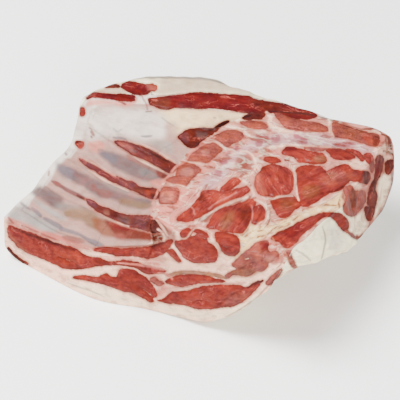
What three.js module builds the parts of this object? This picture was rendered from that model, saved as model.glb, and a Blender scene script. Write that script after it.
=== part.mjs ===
// Raw lamb shoulder on the bone: a square-cut half forequarter with the neck left on, lying on its fat side.
// The spine has been sawn lengthways, so the flat face on top shows the split vertebrae and the neck muscles.
// To the left of it is the hollow of the chest, lined with ribs; the near wall is the cut made between two ribs.
//
// One closed solid, in millimetres. +X runs towards the neck, +Y away from the rib cut, +Z up.
// The origin is on the ground, at the middle of the footprint.
//
// The surface is a loft. The rails run from the rib cut (station 0) to the neck cut (station 9), and at every
// station they are joined round the body into one closed section. A grid of faces closes each of the two cuts.
import * as THREE from 'three';

// ---------------------------------------------------------------- driving dimensions
const STATIONS = 10; // points on each rail, about one vertebra apart
const ROWS = 79; // sections along the loft
const CAP_ROWS = 5; // strips of faces from the top to the bottom of each cut
const FOOTPRINT_SHIFT = { x: -0.67, y: 48.91 }; // brings the middle of the footprint to the origin

// Slots between the ribs: the first one and the pitch are in stations, and each slot leans and then curls back
// towards the rib cut on its way in to the spine.
const rib = { height: 3.2, firstSlot: 0.6, pitch: 1.05, lastSlot: 3, slotShare: 0.38, edge: 0.18, lean: 0.25, curl: 0.6 };
const canal = { fromRidge: 25, toRidge: 34, depth: 2.2, softness: 4 };
const lump = { height: 0.9, length: 46 };

// Each rail is a list of [x, y, z], one for each station.
const rails = {
  // sharp outer edge of the chest wall: the sawn rib ends, then the cut edge of the neck flap
  rim: [
    [-164, -68, 48], [-146, -42, 50], [-126, -10, 50], [-105, 20, 50], [-98, 60, 60],
    [-59, 62, 64], [-8, 56, 70], [38, 43, 82], [100, 11, 92.5], [165.5, -17, 76],
  ],
  // inner edge of that cut strip
  rimInner: [
    [-159, -71, 47], [-141, -45, 49], [-121, -13, 49], [-100, 17, 49], [-91, 53, 58],
    [-57, 52, 63], [-8, 42, 68], [39, 26, 80], [106, 5, 93], [165.5, -16, 80],
  ],
  chestOuter: [
    [-118, -91, 42], [-104, -63, 43], [-86, -33, 43], [-68, -4, 45], [-58, 24, 50],
    [-28, 30, 56], [15, 24, 62], [55, 12, 77], [122, 0, 94], [165, -16, 85],
  ],
  chestInner: [
    [-76, -113, 51], [-66, -82, 50], [-52, -52, 50], [-34, -24, 52], [-18, 2, 55],
    [6, 12, 60], [42, 11, 66], [80, 4, 82], [131, -4, 95], [164.5, -16.5, 89],
  ],
  // foot of the step up to the sawn vertebrae
  gutter: [
    [-38, -132, 84], [-40, -95, 74], [-26, -65, 70], [-8, -38, 69], [14, -13, 71],
    [43, 1, 75], [79, 2, 85], [113, -4, 96], [138, -7, 96], [163.5, -17, 93],
  ],
  // edge of the sawn face along the vertebral bodies
  ridge: [
    [-42, -130, 107], [-33, -98, 109], [-19, -68, 110], [-1, -42, 110], [22, -18, 109],
    [50, -3.5, 108.5], [85, -4, 107], [118, -8, 103], [140, -11, 100], [161, -19, 97],
  ],
  // edge of the sawn face along the back of the animal
  backEdge: [
    [70, -187, 113], [77, -167, 111], [85, -155, 109], [93, -144, 107], [100, -133, 105],
    [108, -121, 103], [113, -113, 102], [119, -105, 100], [122, -97, 98], [124, -90, 97],
  ],
  backBulge: [
    [50, -177, 59.5], [64, -150, 66], [82, -142, 66], [95, -136, 61], [107, -128, 57],
    [117, -119, 53], [125, -110, 48], [131, -102, 44], [135, -96, 42], [137, -90, 40],
  ],
  backFoot: [
    [10, -156.5, 11], [24, -126, 0], [44, -108, 2], [62, -96, 13], [79, -89, 23],
    [93, -84, 28], [107, -80, 31], [120, -77, 34], [132, -75, 36], [145, -74, 38],
  ],
  // middle of the underside
  keel: [
    [-42, -130, 0], [-36, -98, -2], [-22, -73, -3], [2, -58, -3], [30, -52, -1],
    [56, -48, 6], [82, -46, 18], [106, -48, 27], [130, -54, 34], [151, -60, 39],
  ],
  belly: [
    [-88, -117.5, 0], [-88, -74, -2], [-70, -43, -3], [-44, -14, -3], [-26, 4, -2],
    [4, 12, 3], [42, 8, 17], [80, -10, 31], [121, -31, 42], [156, -53, 42],
  ],
  chestFoot: [
    [-150, -75, 0], [-132, -48, -1], [-111, -18, -1], [-89, 10, -1], [-80, 44, 0],
    [-48, 62, 4], [2, 59, 14], [54, 30, 36], [110, -5, 50], [160, -46, 46],
  ],
  chestWall: [
    [-163.5, -68.3, 12], [-147, -42, 16], [-127, -9, 17], [-106, 22, 20], [-102, 64, 30],
    [-62, 86, 38], [1, 84, 46], [53, 50, 64], [112, 8, 72], [165.5, -32, 58],
  ],
  chestShoulder: [
    [-164.8, -67.6, 34], [-147, -42, 36], [-127, -9, 36], [-106, 23, 38], [-99, 70, 54],
    [-63, 83, 62], [0, 81, 68], [47, 47, 81], [108, 11, 86], [166.5, -22, 68],
  ],
};

// The section runs round these chains. A chain of several rails is one smooth curve; chains meet in sharp edges.
const chains = [
  { name: 'rimCut', through: ['rim', 'rimInner'], steps: [1] },
  { name: 'chest', through: ['rimInner', 'chestOuter', 'chestInner', 'gutter'], steps: [8, 8, 7] },
  { name: 'step', through: ['gutter', 'ridge'], steps: [3] },
  { name: 'sawnFace', through: ['ridge', 'backEdge'], steps: [15] },
  {
    name: 'skin',
    through: ['backEdge', 'backBulge', 'backFoot', 'keel', 'belly', 'chestFoot', 'chestWall', 'chestShoulder', 'rim'],
    steps: [5, 5, 4, 4, 4, 3, 2, 2],
  },
];
const stepsIn = (list) => list.flatMap((chain) => chain.steps).reduce((sum, count) => sum + count, 0);
const STEPS_OVER_TOP = stepsIn(chains.filter((chain) => chain.name !== 'skin'));
const STEPS_AROUND = stepsIn(chains);

// ---------------------------------------------------------------- helpers
const smooth = (low, high, value) => THREE.MathUtils.smoothstep(value, low, high);

// Each rail as a curve, asked for by station.
const railCurves = Object.fromEntries(
  Object.entries(rails).map(([name, points]) => [
    name,
    new THREE.CatmullRomCurve3(points.map((p) => new THREE.Vector3(...p)), false, 'catmullrom', 0.5),
  ]),
);
const onRail = (name, station) => railCurves[name].getPoint(station / (STATIONS - 1));

// Ribs are the raised bands between the slots. `inwards` is 0 at the rib ends and 1 at the spine.
function ribRelief(station, inwards) {
  const place = (station + rib.lean * inwards + rib.curl * inwards ** 4 - rib.firstSlot) / rib.pitch;
  const fromSlot = Math.abs(place - Math.round(place)) * 2;
  const onRib = smooth(rib.slotShare - rib.edge, rib.slotShare + rib.edge, fromSlot);
  const pastLastSlot = smooth(rib.lastSlot + 0.25, rib.lastSlot + 0.65, place);
  const nearSpine = smooth(0.88, 1, inwards);
  return rib.height * (onRib - 0.5) * (1 - pastLastSlot) * (1 - nearSpine);
}

// The sawn-open vertebral canal is a shallow groove that follows the ridge.
function canalDepth(fromRidge) {
  const { fromRidge: near, toRidge: far, depth, softness } = canal;
  const past = smooth(near - softness, near + softness, fromRidge);
  const before = 1 - smooth(far - softness, far + softness, fromRidge);
  return depth * past * before;
}

// Soft unevenness of fat and flesh.
function lumps(p) {
  const k = (2 * Math.PI) / lump.length;
  const a = Math.sin(k * p.x + 1.3 * Math.sin(k * 0.7 * p.y));
  const b = Math.sin(k * 1.2 * p.y + 0.8 + 1.1 * Math.sin(k * 0.8 * p.z));
  return lump.height * a * b;
}

// ---------------------------------------------------------------- one section
function sectionAt(station) {
  const loop = [];
  for (const chain of chains) {
    const curve = new THREE.CatmullRomCurve3(chain.through.map((name) => onRail(name, station)), false, 'centripetal');
    const spans = chain.steps.length;
    chain.steps.forEach((count, span) => {
      for (let i = 0; i < count; i += 1) {
        const along = (span + i / count) / spans;
        const p = curve.getPoint(along);
        if (chain.name === 'chest') p.z += ribRelief(station, along);
        if (chain.name === 'sawnFace') p.z -= canalDepth(p.distanceTo(curve.getPoint(0)));
        if (chain.name === 'skin') p.z += lumps(p) * smooth(0, 12, p.z);
        p.z = Math.max(p.z, 0);
        loop.push(p);
      }
    });
  }
  return loop;
}

// ---------------------------------------------------------------- the solid
// Fills the strip between two lists of points that share their first and last point.
function fillStrip(upper, lower, faces, flip) {
  let i = 0;
  let j = 0;
  while (i < upper.length - 1 || j < lower.length - 1) {
    const upperIsBehind = (i + 1) / (upper.length - 1) <= (j + 1) / (lower.length - 1);
    const face = upperIsBehind ? [upper[i], upper[i + 1], lower[j]] : [upper[i], lower[j + 1], lower[j]];
    if (upperIsBehind) i += 1;
    else j += 1;
    if (new Set(face).size === 3) faces.push(...(flip ? face.reverse() : face));
  }
}

// Closes a cut with strips that run from its left end to its right end, one below the other.
function closeCut(points, faces, firstOfLoop, flip) {
  const last = firstOfLoop + STEPS_OVER_TOP;
  const top = Array.from({ length: STEPS_OVER_TOP + 1 }, (_, i) => firstOfLoop + i);
  const bottom = [firstOfLoop];
  for (let i = firstOfLoop + STEPS_AROUND - 1; i >= last; i -= 1) bottom.push(i);
  const columns = bottom.length - 1;
  let above = top;
  for (let strip = 1; strip < CAP_ROWS; strip += 1) {
    const row = [firstOfLoop];
    for (let column = 1; column < columns; column += 1) {
      const over = (column / columns) * STEPS_OVER_TOP;
      const high = points[top[Math.floor(over)]].clone().lerp(points[top[Math.ceil(over)]], over % 1);
      row.push(points.length);
      points.push(high.lerp(points[bottom[column]], strip / CAP_ROWS));
    }
    row.push(last);
    fillStrip(above, row, faces, flip);
    above = row;
  }
  fillStrip(above, bottom, faces, flip);
}

function buildShoulder() {
  const points = [];
  const faces = [];
  for (let row = 0; row <= ROWS; row += 1) points.push(...sectionAt((row / ROWS) * (STATIONS - 1)));
  for (let row = 0; row < ROWS; row += 1) {
    for (let i = 0; i < STEPS_AROUND; i += 1) {
      const a = row * STEPS_AROUND + i;
      const b = row * STEPS_AROUND + ((i + 1) % STEPS_AROUND);
      faces.push(a, b, b + STEPS_AROUND, a, b + STEPS_AROUND, a + STEPS_AROUND);
    }
  }
  closeCut(points, faces, 0, true);
  closeCut(points, faces, ROWS * STEPS_AROUND, false);
  const positions = points.flatMap((p) => [p.x + FOOTPRINT_SHIFT.x, p.y + FOOTPRINT_SHIFT.y, p.z]);
  const geometry = new THREE.BufferGeometry();
  geometry.setAttribute('position', new THREE.Float32BufferAttribute(positions, 3));
  geometry.setIndex(faces);
  geometry.computeVertexNormals();
  return geometry;
}

const shoulder = new THREE.Mesh(
  buildShoulder(),
  new THREE.MeshStandardMaterial({ color: 0xc9968a, roughness: 0.5, metalness: 0 }),
);
shoulder.name = 'lamb_shoulder';

const part = new THREE.Group();
part.add(shoulder);

export default part;
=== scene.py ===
# %% [markdown]
# # Raw lamb shoulder
# A square-cut shoulder of lamb on the bone, with its neck, lies on its fat side. The butcher made four cuts.
# One splits the spine and faces up, one passes between two ribs and faces us, one crosses the neck, and one
# crosses the breast. What is left between them is the lined hollow of the chest and the outer cover of fat.
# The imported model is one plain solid. Here it gets its skin of membrane, muscle, fat and bone.

import bmesh
import bpy
import numpy as np
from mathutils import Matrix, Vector


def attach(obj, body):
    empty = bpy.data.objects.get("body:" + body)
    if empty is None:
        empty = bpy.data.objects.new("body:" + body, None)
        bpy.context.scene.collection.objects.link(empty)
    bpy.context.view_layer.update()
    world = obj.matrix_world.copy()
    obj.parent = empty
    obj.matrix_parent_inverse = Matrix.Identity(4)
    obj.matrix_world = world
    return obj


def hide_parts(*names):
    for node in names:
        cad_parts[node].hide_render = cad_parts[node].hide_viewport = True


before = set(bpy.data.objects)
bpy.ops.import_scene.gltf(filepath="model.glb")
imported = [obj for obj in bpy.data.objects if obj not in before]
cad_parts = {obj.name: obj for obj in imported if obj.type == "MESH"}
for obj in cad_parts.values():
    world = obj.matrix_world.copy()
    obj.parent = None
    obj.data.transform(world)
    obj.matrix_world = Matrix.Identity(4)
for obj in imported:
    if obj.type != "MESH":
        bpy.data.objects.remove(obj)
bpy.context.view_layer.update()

MM = 0.001

# %% [markdown]
# ## The form: rails and sections
# The solid is a loft, and the visible skin has to be nearly the same shape, only finer. So the solid's
# rails are written here. Some are moved by up to 5.3 millimetres, on the back and at the neck end, where
# the solid's outline is wider than the photograph's. Each rail is a line that runs from the rib cut
# (station 0) to the neck cut (station 9), about one vertebra to a station. Sculpting over the solid would
# also work, but a loft can be asked for any number of points, and all the pieces then share their edges
# exactly.

# %% Rails, in millimetres
LAST_STATION = 9
FOOTPRINT_SHIFT = np.array([-0.67, 48.91, 0.0])

RAILS = {
    # the sawn rib ends, then the cut edge of the neck flap
    "rim": [
        (-164, -68, 48), (-145, -43, 50), (-126, -10, 50), (-108, 21, 51), (-97, 59, 59),
        (-59, 62, 64), (-8, 56, 70), (38, 42, 81), (100, 11, 91.5), (162, -17, 75.5),
    ],
    "rim_inner": [
        (-159, -71, 47), (-140, -46, 49), (-121, -13, 49), (-102.5, 18, 50), (-90, 53, 57),
        (-57, 52, 63), (-8, 42, 68), (39, 26, 79.5), (106, 5, 91.5), (162, -16, 79),
    ],
    "chest_outer": [
        (-118, -91, 42), (-104, -63, 43), (-86, -33, 43), (-68, -4, 45), (-58, 24, 50),
        (-28, 30, 56), (15, 24, 62), (55, 12, 77), (121, 0, 92), (161, -16, 84),
    ],
    "chest_inner": [
        (-76, -113, 51), (-66, -82, 50), (-52, -52, 50), (-34, -24, 52), (-18, 2, 55),
        (6, 12, 60), (42, 11, 66), (80, 4, 82), (130, -4, 93), (160.5, -16.5, 87.5),
    ],
    # the foot of the step up to the vertebrae
    "gutter": [
        (-38, -132, 84), (-40, -95, 74), (-26, -65, 70), (-8, -38, 69), (14, -13, 71),
        (43, 1, 75), (79, 2, 85), (113, -4, 95.5), (137, -7, 94), (159.5, -17, 91),
    ],
    # the edge of the sawn face along the vertebral bodies
    "ridge": [
        (-42, -130, 107), (-33, -98, 109), (-19, -68, 110), (-1, -42, 110), (22, -18, 109),
        (50, -3.5, 108.5), (85, -4, 107), (118, -8, 102.5), (139, -11, 98.5), (157.5, -19, 95.5),
    ],
    # the edge of the sawn face along the back of the animal
    "back_edge": [
        (70, -187, 113), (77, -167, 111), (85, -155, 109), (93, -144, 107), (100, -133, 105),
        (108, -121, 103), (113, -113, 102), (119, -105, 100), (122, -97, 98), (124, -90, 97),
    ],
    "back_bulge": [
        (48, -174, 60), (63, -147, 66), (80, -138.5, 66), (93, -132.5, 61), (104.5, -124.5, 57),
        (114.5, -115.5, 53), (122.5, -106.5, 48), (128.5, -98.5, 44), (132, -92, 42), (133.5, -86, 40),
    ],
    "back_foot": [
        (10, -153.5, 11), (24, -123, 0), (43, -105, 2), (61, -93, 13), (77.5, -86, 23),
        (91.5, -81, 28), (105, -77, 31), (118, -74, 34), (129.5, -72, 36), (141, -71, 38),
    ],
    "keel": [
        (-42, -130, 0), (-36, -98, -2), (-22, -73, -3), (2, -58, -3), (30, -52, -1),
        (56, -48, 6), (82, -46, 18), (106, -48, 27), (129, -54, 34), (148, -59, 39),
    ],
    "belly": [
        (-88, -117.5, 0), (-88, -74, -2), (-70, -43, -3), (-44, -14, -3), (-26, 4, -2),
        (4, 12, 3), (42, 8, 17), (80, -10, 31), (120, -31, 42), (153.5, -53, 42),
    ],
    "chest_foot": [
        (-150, -75, 0), (-132, -48, -1), (-111, -18, -1), (-89, 10, -1), (-80, 44, 0),
        (-48, 62, 4), (2, 59, 14), (54, 30, 36), (109, -5, 50), (157.5, -46, 46),
    ],
    "chest_wall": [
        (-163.5, -68.3, 12), (-146, -43, 16), (-127, -9, 17), (-108, 23, 20), (-100.5, 63, 30),
        (-62, 86, 38), (1, 84, 46), (53, 49, 63), (112, 8, 71), (162.5, -32, 57.5),
    ],
    "chest_shoulder": [
        (-164.8, -67.6, 34), (-146, -43, 36), (-127, -9, 36), (-108.5, 24, 38), (-97.5, 67.5, 53),
        (-63, 83, 62), (0, 81, 67), (47, 45.5, 79.5), (107, 11, 85), (163, -22, 67.5),
    ],
}
print(len(RAILS), "rails of", LAST_STATION + 1, "stations")

# %% Curves through the rails
def smooth(low, high, value):
    """0 below low, 1 above high, and 3t^2 - 2t^3 in between."""
    t = np.clip((value - low) / (high - low), 0.0, 1.0)
    return t * t * (3.0 - 2.0 * t)


def hermite(start, end, leave, arrive, t):
    """The cubic from start to end that leaves and arrives with the given speeds."""
    return (
        (2 * start - 2 * end + leave + arrive) * t**3
        + (3 * end - 3 * start - 2 * leave - arrive) * t**2
        + leave * t
        + start
    )


def rail_at(name, stations):
    """A point of a rail for each station: a Catmull-Rom curve, so the speed at a point is half of the step
    from its left neighbour to its right one."""
    rail = np.array(RAILS[name], float)
    rail = np.vstack([2 * rail[0] - rail[1], rail, 2 * rail[-1] - rail[-2]])
    left = np.clip(np.floor(stations).astype(int), 0, LAST_STATION - 1)
    before, start, end, after = (rail[left + k] for k in range(4))
    return hermite(start, end, (end - before) / 2, (after - start) / 2, (stations - left)[:, None])


def strip(names, stations, steps):
    """Grid [station, place across]: at each station a curve through the named rails. It is a centripetal
    Catmull-Rom curve: the time between two points is the root of their distance, so it never loops."""
    knots = np.stack([rail_at(name, stations) for name in names], axis=1)
    knots = np.concatenate(
        [2 * knots[:, :1] - knots[:, 1:2], knots, 2 * knots[:, -1:] - knots[:, -2:-1]], axis=1
    )
    spans = []
    for span, count in enumerate(steps):
        before, start, end, after = (knots[:, span + k, None] for k in range(4))
        d0, d1, d2 = (
            np.sqrt(np.linalg.norm(b - a, axis=-1, keepdims=True)) + 1e-6
            for a, b in ((before, start), (start, end), (end, after))
        )
        leave = ((start - before) / d0 - (end - before) / (d0 + d1) + (end - start) / d1) * d1
        arrive = ((end - start) / d1 - (after - start) / (d1 + d2) + (after - end) / d2) * d1
        t = (np.arange(count) / count)[None, :, None]
        spans.append(hermite(start, end, leave, arrive, t))
    spans.append(knots[:, -2:-1])
    return np.concatenate(spans, axis=1)


# %% [markdown]
# ## Five grids that share their edges
# Each surface is a grid of points: one way along the stations, the other way across. The skin later becomes
# two pieces, the fat of the back and of the breast, which meet at the keel. The two cuts at the ends are
# ruled from the top edge of their section to its bottom edge, so they need as many points below as above.
# That is why the steps of the fat cover add up to those of the lining and the sawn face.

# %% Grids of the surfaces
ROWS = 400
RIM_STEPS = [12]
CHEST_STEPS = [52, 52, 46]
STEP_STEPS = [34]
SAWN_STEPS = [164]
SKIN_STEPS = [62, 62, 56, 50, 56, 32, 26, 16]
KEEL_COLUMN = sum(SKIN_STEPS[:3])
RIB_CUT_ROWS = 150
NECK_CUT_ROWS = 110
SKIN_RAILS = [
    "back_edge", "back_bulge", "back_foot", "keel",
    "belly", "chest_foot", "chest_wall", "chest_shoulder", "rim",
]
stations = np.linspace(0, LAST_STATION, ROWS + 1)

rim_strip = strip(["rim", "rim_inner"], stations, RIM_STEPS)
chest_strip = strip(["rim_inner", "chest_outer", "chest_inner", "gutter"], stations, CHEST_STEPS)
step_strip = strip(["gutter", "ridge"], stations, STEP_STEPS)
sawn = strip(["ridge", "back_edge"], stations, SAWN_STEPS)
skin = strip(SKIN_RAILS, stations, SKIN_STEPS)
print("across the lining", rim_strip.shape[1] + chest_strip.shape[1] + step_strip.shape[1] - 2,
      "the sawn face", sawn.shape[1], "the skin", skin.shape[1])

# %% [markdown]
# ## Relief that belongs to the form
# Three things shape the surface before any colour: the slots between the ribs, the opened canal of the
# spinal cord along the sawn vertebrae, and the soft unevenness of fat. They are the formulas of the solid.
# Everything is then moved a little by one slow wave field, so that the knife's edges wander as they do on
# meat, and so that neighbouring pieces move together.

# %% Ribs, canal and unevenness
RIB_HEIGHT, FIRST_SLOT, SLOT_PITCH, LAST_SLOT, SLOT_SHARE, SLOT_EDGE = 3.2, 0.6, 1.05, 3, 0.38, 0.18
RIB_LEAN, RIB_CURL = 0.25, 0.6
CANAL_NEAR, CANAL_FAR, CANAL_DEPTH, CANAL_SOFTNESS = 25, 34, 2.2, 4
LUMP_HEIGHT, LUMP_LENGTH = 0.9, 46
WANDER, WANDER_LENGTH = 0.9, 34


def rib_place(station, inwards):
    """Counts the slots: whole numbers in the middle of a slot, halves on the middle of a rib."""
    return (station + RIB_LEAN * inwards + RIB_CURL * inwards**4 - FIRST_SLOT) / SLOT_PITCH


def rib_relief(station, inwards):
    """Ribs stand half of RIB_HEIGHT above the lining and the slots lie half of it below."""
    place = rib_place(station, inwards)
    from_slot = np.abs(place - np.round(place)) * 2
    on_rib = smooth(SLOT_SHARE - SLOT_EDGE, SLOT_SHARE + SLOT_EDGE, from_slot)
    shown = 1 - smooth(LAST_SLOT + 0.25, LAST_SLOT + 0.65, place)
    return RIB_HEIGHT * (on_rib - 0.5) * shown * (1 - smooth(0.88, 1, inwards))


def waves(points, length, seed, count=7):
    """Smooth uneven numbers around 0, mostly within 1: a sum of sine waves in random directions, each about
    `length` millimetres long."""
    draw = np.random.default_rng(seed)
    directions = draw.normal(size=(count, 3))
    directions /= np.linalg.norm(directions, axis=1)[:, None]
    numbers = 2 * np.pi / (length * draw.uniform(0.75, 1.35, count))
    phases = draw.uniform(0, 2 * np.pi, count)
    return np.sin(points @ (directions * numbers[:, None]).T + phases).sum(-1) / np.sqrt(count)


def lumps(points):
    """The slow swell of the fat side."""
    k = 2 * np.pi / LUMP_LENGTH
    x, y, z = np.moveaxis(points, -1, 0)
    a = np.sin(k * x + 1.3 * np.sin(k * 0.7 * y))
    b = np.sin(k * 1.2 * y + 0.8 + 1.1 * np.sin(k * 0.8 * z))
    return LUMP_HEIGHT * a * b


def settle(points):
    """Shifts a grid into the part's frame, lets it wander, and lays its lowest part flat on the surface."""
    points = points.copy()
    points[..., 2] = np.maximum(points[..., 2], 0)
    lifted = smooth(0, 14, points[..., 2])[..., None]
    wander = np.stack([waves(points, WANDER_LENGTH, seed) for seed in (11, 12, 13)], axis=-1)
    points = points + WANDER * wander * lifted * np.array([1, 1, 0.6])
    points[..., 2] = np.maximum(points[..., 2], 0)
    return points + FOOTPRINT_SHIFT


inwards = np.concatenate(
    [(span + np.arange(count) / count) / len(CHEST_STEPS) for span, count in enumerate(CHEST_STEPS)] + [[1]]
)[None, :]
chest_strip[..., 2] += rib_relief(stations[:, None], inwards)
from_ridge = np.linalg.norm(sawn - sawn[:, :1], axis=-1)
past_canal = smooth(CANAL_NEAR - CANAL_SOFTNESS, CANAL_NEAR + CANAL_SOFTNESS, from_ridge)
before_canal = 1 - smooth(CANAL_FAR - CANAL_SOFTNESS, CANAL_FAR + CANAL_SOFTNESS, from_ridge)
sawn[..., 2] -= CANAL_DEPTH * past_canal * before_canal
skin_fade = np.minimum(np.arange(skin.shape[1]), np.arange(skin.shape[1])[::-1])[None, :]
skin[..., 2] += lumps(skin) * smooth(0, 12, skin[..., 2]) * smooth(0, 12, skin_fade)


def rule(top, bottom, rows):
    """Grid from a top edge to a bottom edge, along straight lines."""
    t = np.linspace(0, 1, rows + 1)[:, None, None]
    return top[None] * (1 - t) + bottom[None] * t


lining = settle(np.concatenate([rim_strip[:, :-1], chest_strip[:, :-1], step_strip], axis=1))
sawn = settle(sawn)
skin = settle(skin)
rib_cut = rule(np.vstack([lining[0, :-1], sawn[0]]), skin[0, ::-1], RIB_CUT_ROWS)
neck_cut = rule(np.vstack([lining[-1, :-1], sawn[-1]])[::-1], skin[-1], NECK_CUT_ROWS)
print("rib cut", rib_cut.shape, "neck cut", neck_cut.shape)

# %% [markdown]
# ## Where a shape falls in the picture
# The muscles in the cuts have outlines that no formula gives, so each one is drawn as a short list of
# points in the picture's own frame of 400 by 400 pixels. The camera is the link: every point of the surface
# is projected into the picture, and its distance to each outline is stored on the mesh. A pixel is 0.85 mm
# across, and up and down, where the surface is seen at 45 degrees, about 1.2 mm.

# %% Camera and projection
PICTURE = 400
PIXEL = 0.85
CAMERA_DISTANCE = 6000
ELEVATION = np.radians(45)
SENSOR = 36
aim = FOOTPRINT_SHIFT.copy()
right = np.array([1.0, 0.0, 0.0])
forward = np.array([0.0, np.cos(ELEVATION), -np.sin(ELEVATION)])
up = np.array([0.0, np.sin(ELEVATION), np.cos(ELEVATION)])
eye = aim - CAMERA_DISTANCE * forward


def in_picture(points):
    """Pixel coordinates of points in millimetres, right and down. The first pixel's middle is at 0."""
    seen = points - eye
    scale = CAMERA_DISTANCE / (seen @ forward) / PIXEL
    middle = (PICTURE - 1) / 2
    return np.stack([middle + (seen @ right) * scale, middle - (seen @ up) * scale], axis=-1)


camera = bpy.data.objects.new("camera", bpy.data.cameras.new("camera"))
bpy.context.scene.collection.objects.link(camera)
camera.data.sensor_width = SENSOR
camera.data.lens = SENSOR * CAMERA_DISTANCE / (PICTURE * PIXEL)
camera.data.clip_end = 100
camera.location = Vector(eye * MM)
camera.rotation_mode = "QUATERNION"
camera.rotation_quaternion = Vector(forward).to_track_quat("-Z", "Y")
bpy.context.scene.camera = camera
corner = in_picture(rib_cut).reshape(-1, 2).min(0)
print("lens", round(camera.data.lens), "mm; the rib cut starts at pixel", corner.round())

# %% [markdown]
# ## Drawing the cuts
# An outline is closed by a smooth curve through its points, and a streak is a curve with a half width at
# each point. For every point of the surface we work out how far inside or outside each of them it lies. The
# renderer then draws the boundary from that one distance, which stays sharp however coarse the mesh is.
# Painting a picture and projecting it would be quicker, but it would blur, and it would bake in the light
# of the photo.

# %% Distances to outlines and streaks
REACH = 7.0


def curve_through(points, closed, samples=6):
    """A Catmull-Rom curve through points of any number of values, as a list of short steps."""
    points = np.array(points, float)
    first, last = points[-1:], points[:2]
    if not closed:
        first, last = 2 * points[:1] - points[1:2], 2 * points[-1:] - points[-2:-1]
    padded = np.vstack([first, points, last])
    before, start, end, after = (padded[k : len(padded) - 3 + k, None] for k in range(4))
    t = (np.arange(samples) / samples)[None, :, None]
    curve = hermite(start, end, (end - before) / 2, (after - start) / 2, t).reshape(-1, points.shape[1])
    return np.vstack([curve, points[:1] if closed else points[-1:]])


def depth_in(places, points, closed):
    """Pixels inside the shape: positive inside, negative outside, and -REACH far away. The third value of a
    streak's point is its half width."""
    curve = curve_through(points, closed)
    half_width = None if closed else curve[:, 2]
    curve = curve[:, :2]
    margin = REACH + (0 if closed else half_width.max())
    near = np.all((places > curve.min(0) - margin) & (places < curve.max(0) + margin), axis=-1)
    spot = places[near][:, None]
    start, end = curve[:-1], curve[1:]
    span = end - start
    t = np.clip(((spot - start) * span).sum(-1) / np.maximum((span**2).sum(-1), 1e-9), 0, 1)
    away = np.linalg.norm(spot - start - t[..., None] * span, axis=-1)
    if closed:
        above = (start[:, 1] > spot[..., 1]) != (end[:, 1] > spot[..., 1])
        rise = np.where(np.abs(span[:, 1]) < 1e-9, 1e-9, span[:, 1])
        crossing = start[:, 0] + (spot[..., 1] - start[:, 1]) * span[:, 0] / rise
        inside = (above & (spot[..., 0] < crossing)).sum(-1) % 2 == 1
        depth = np.where(inside, 1, -1) * away.min(-1)
    else:
        depth = (half_width[:-1] + t * (half_width[1:] - half_width[:-1]) - away).max(-1)
    found = np.full(places.shape[:-1], -REACH)
    found[near] = np.maximum(depth, -REACH)
    return found


square = [(0, 0), (0, 4), (4, 4), (4, 0)]
print("a pixel in from the edge of a square:", depth_in(np.array([[1.0, 2.0]]), square, True))

# %% [markdown]
# ## Tones of fresh lamb
# A real cut has few colours: lean that is bright, dark or dried, fat that is cool, warm or yellow, sinew,
# bone, blood, and membrane over all of these. So each is one named tone, and every shape is given the tone of
# what it is. A few tones also stand for painted shade: shadow, shaded fat, the grey of folds, and the dark
# red of lean where it lies along hollows and slot ends. A colour for each shape would follow one photograph
# more closely, but it would be a copy of that photograph and not a description of lamb.

# %% Tones by name
LAMPS = 3.2
BRIGHT_GAIN, BRIGHT_POWER = 9, 4.5
PALEST_PIGMENT = 0.9
TONES = {
    "lean": "#a8443a",
    "bright lean": "#b4503c",
    # dark red meat, and also laid as painted shade along the tops of muscles and at the ends of the slots
    "dark lean": "#7a342c",
    "dried lean": "#8c423a",
    "brown lean": "#8a4c3c",
    "pale lean": "#b46a5c",
    "tan lean": "#a86c50",
    "crimson": "#8c2c2c",
    "marrow": "#a85a4c",
    "pale marrow": "#c08a74",
    "slot lean": "#8a4644",
    "mauve lean": "#8a5054",
    "grey lean": "#84605c",
    "blood": "#8c3628",
    "rust": "#a8603e",
    "shadow": "#5c302a",
    "black": "#3c2624",
    "rib": "#90787a",
    "lilac": "#988e96",
    "grey membrane": "#a49c98",
    "tan membrane": "#ac8e70",
    "rosy membrane": "#a87068",
    "pale membrane": "#c8b4aa",
    "cool membrane": "#bcb8b4",
    "fat": "#e2dcd2",
    "fat cover": "#e6e0d6",
    "warm fat": "#e2d4ca",
    "sawn fat": "#d0b0a2",
    "cream fat": "#e0d8c8",
    "mane fat": "#dcd2b4",
    "tan fat": "#c0a080",
    "shaded fat": "#c8baa8",
    "pink fat": "#d4aa9a",
    "pink sinew": "#cc9484",
    "white sinew": "#dcccc0",
    "cool white": "#d8d4d0",
    "canal blood": "#b8707a",
    "canal lilac": "#ccb6b6",
    "rose": "#b06a60",
    # a grey laid as painted shade in the folds of the fat; a speck on the far wall also uses it
    "crease": "#b4aaa2",
    "grey line": "#9c9896",
    "lean under fat": "#c08a7a",
    "pink fell": "#d6a898",
    "faint pink": "#dcbcb0",
    "bone web": "#dcb09c",
    "marbling": "#d69c8c",
    "blush": "#cf9488",
    "saw smear": "#a24c3c",
    "sinew thread": "#ece4dc",
    "muscle rim": "#c07c68",
}


def linear(code):
    """A colour from its sRGB hex code to the linear numbers that the renderer works with."""
    values = np.array([int(code[k : k + 2], 16) for k in (1, 3, 5)]) / 255
    return np.where(values <= 0.04045, values / 12.92, ((values + 0.055) / 1.055) ** 2.4)


def pigment(tone):
    """The pigment that looks like a tone in the render. The scene is lit LAMPS times brighter than the white
    of a screen, and film rolls bright tones off but leaves dark ones, so a dark pigment is the seen tone over
    LAMPS and a pale one is several times that."""
    seen = linear(TONES[tone])
    return np.minimum(seen * (1 + BRIGHT_GAIN * seen**BRIGHT_POWER) / LAMPS, PALEST_PIGMENT)


def toward(pigments, tone, share):
    """Moves each pigment towards that of a tone by its share."""
    return pigments + (pigment(tone) - pigments) * share[..., None]


print(len(TONES), "tones")

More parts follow.
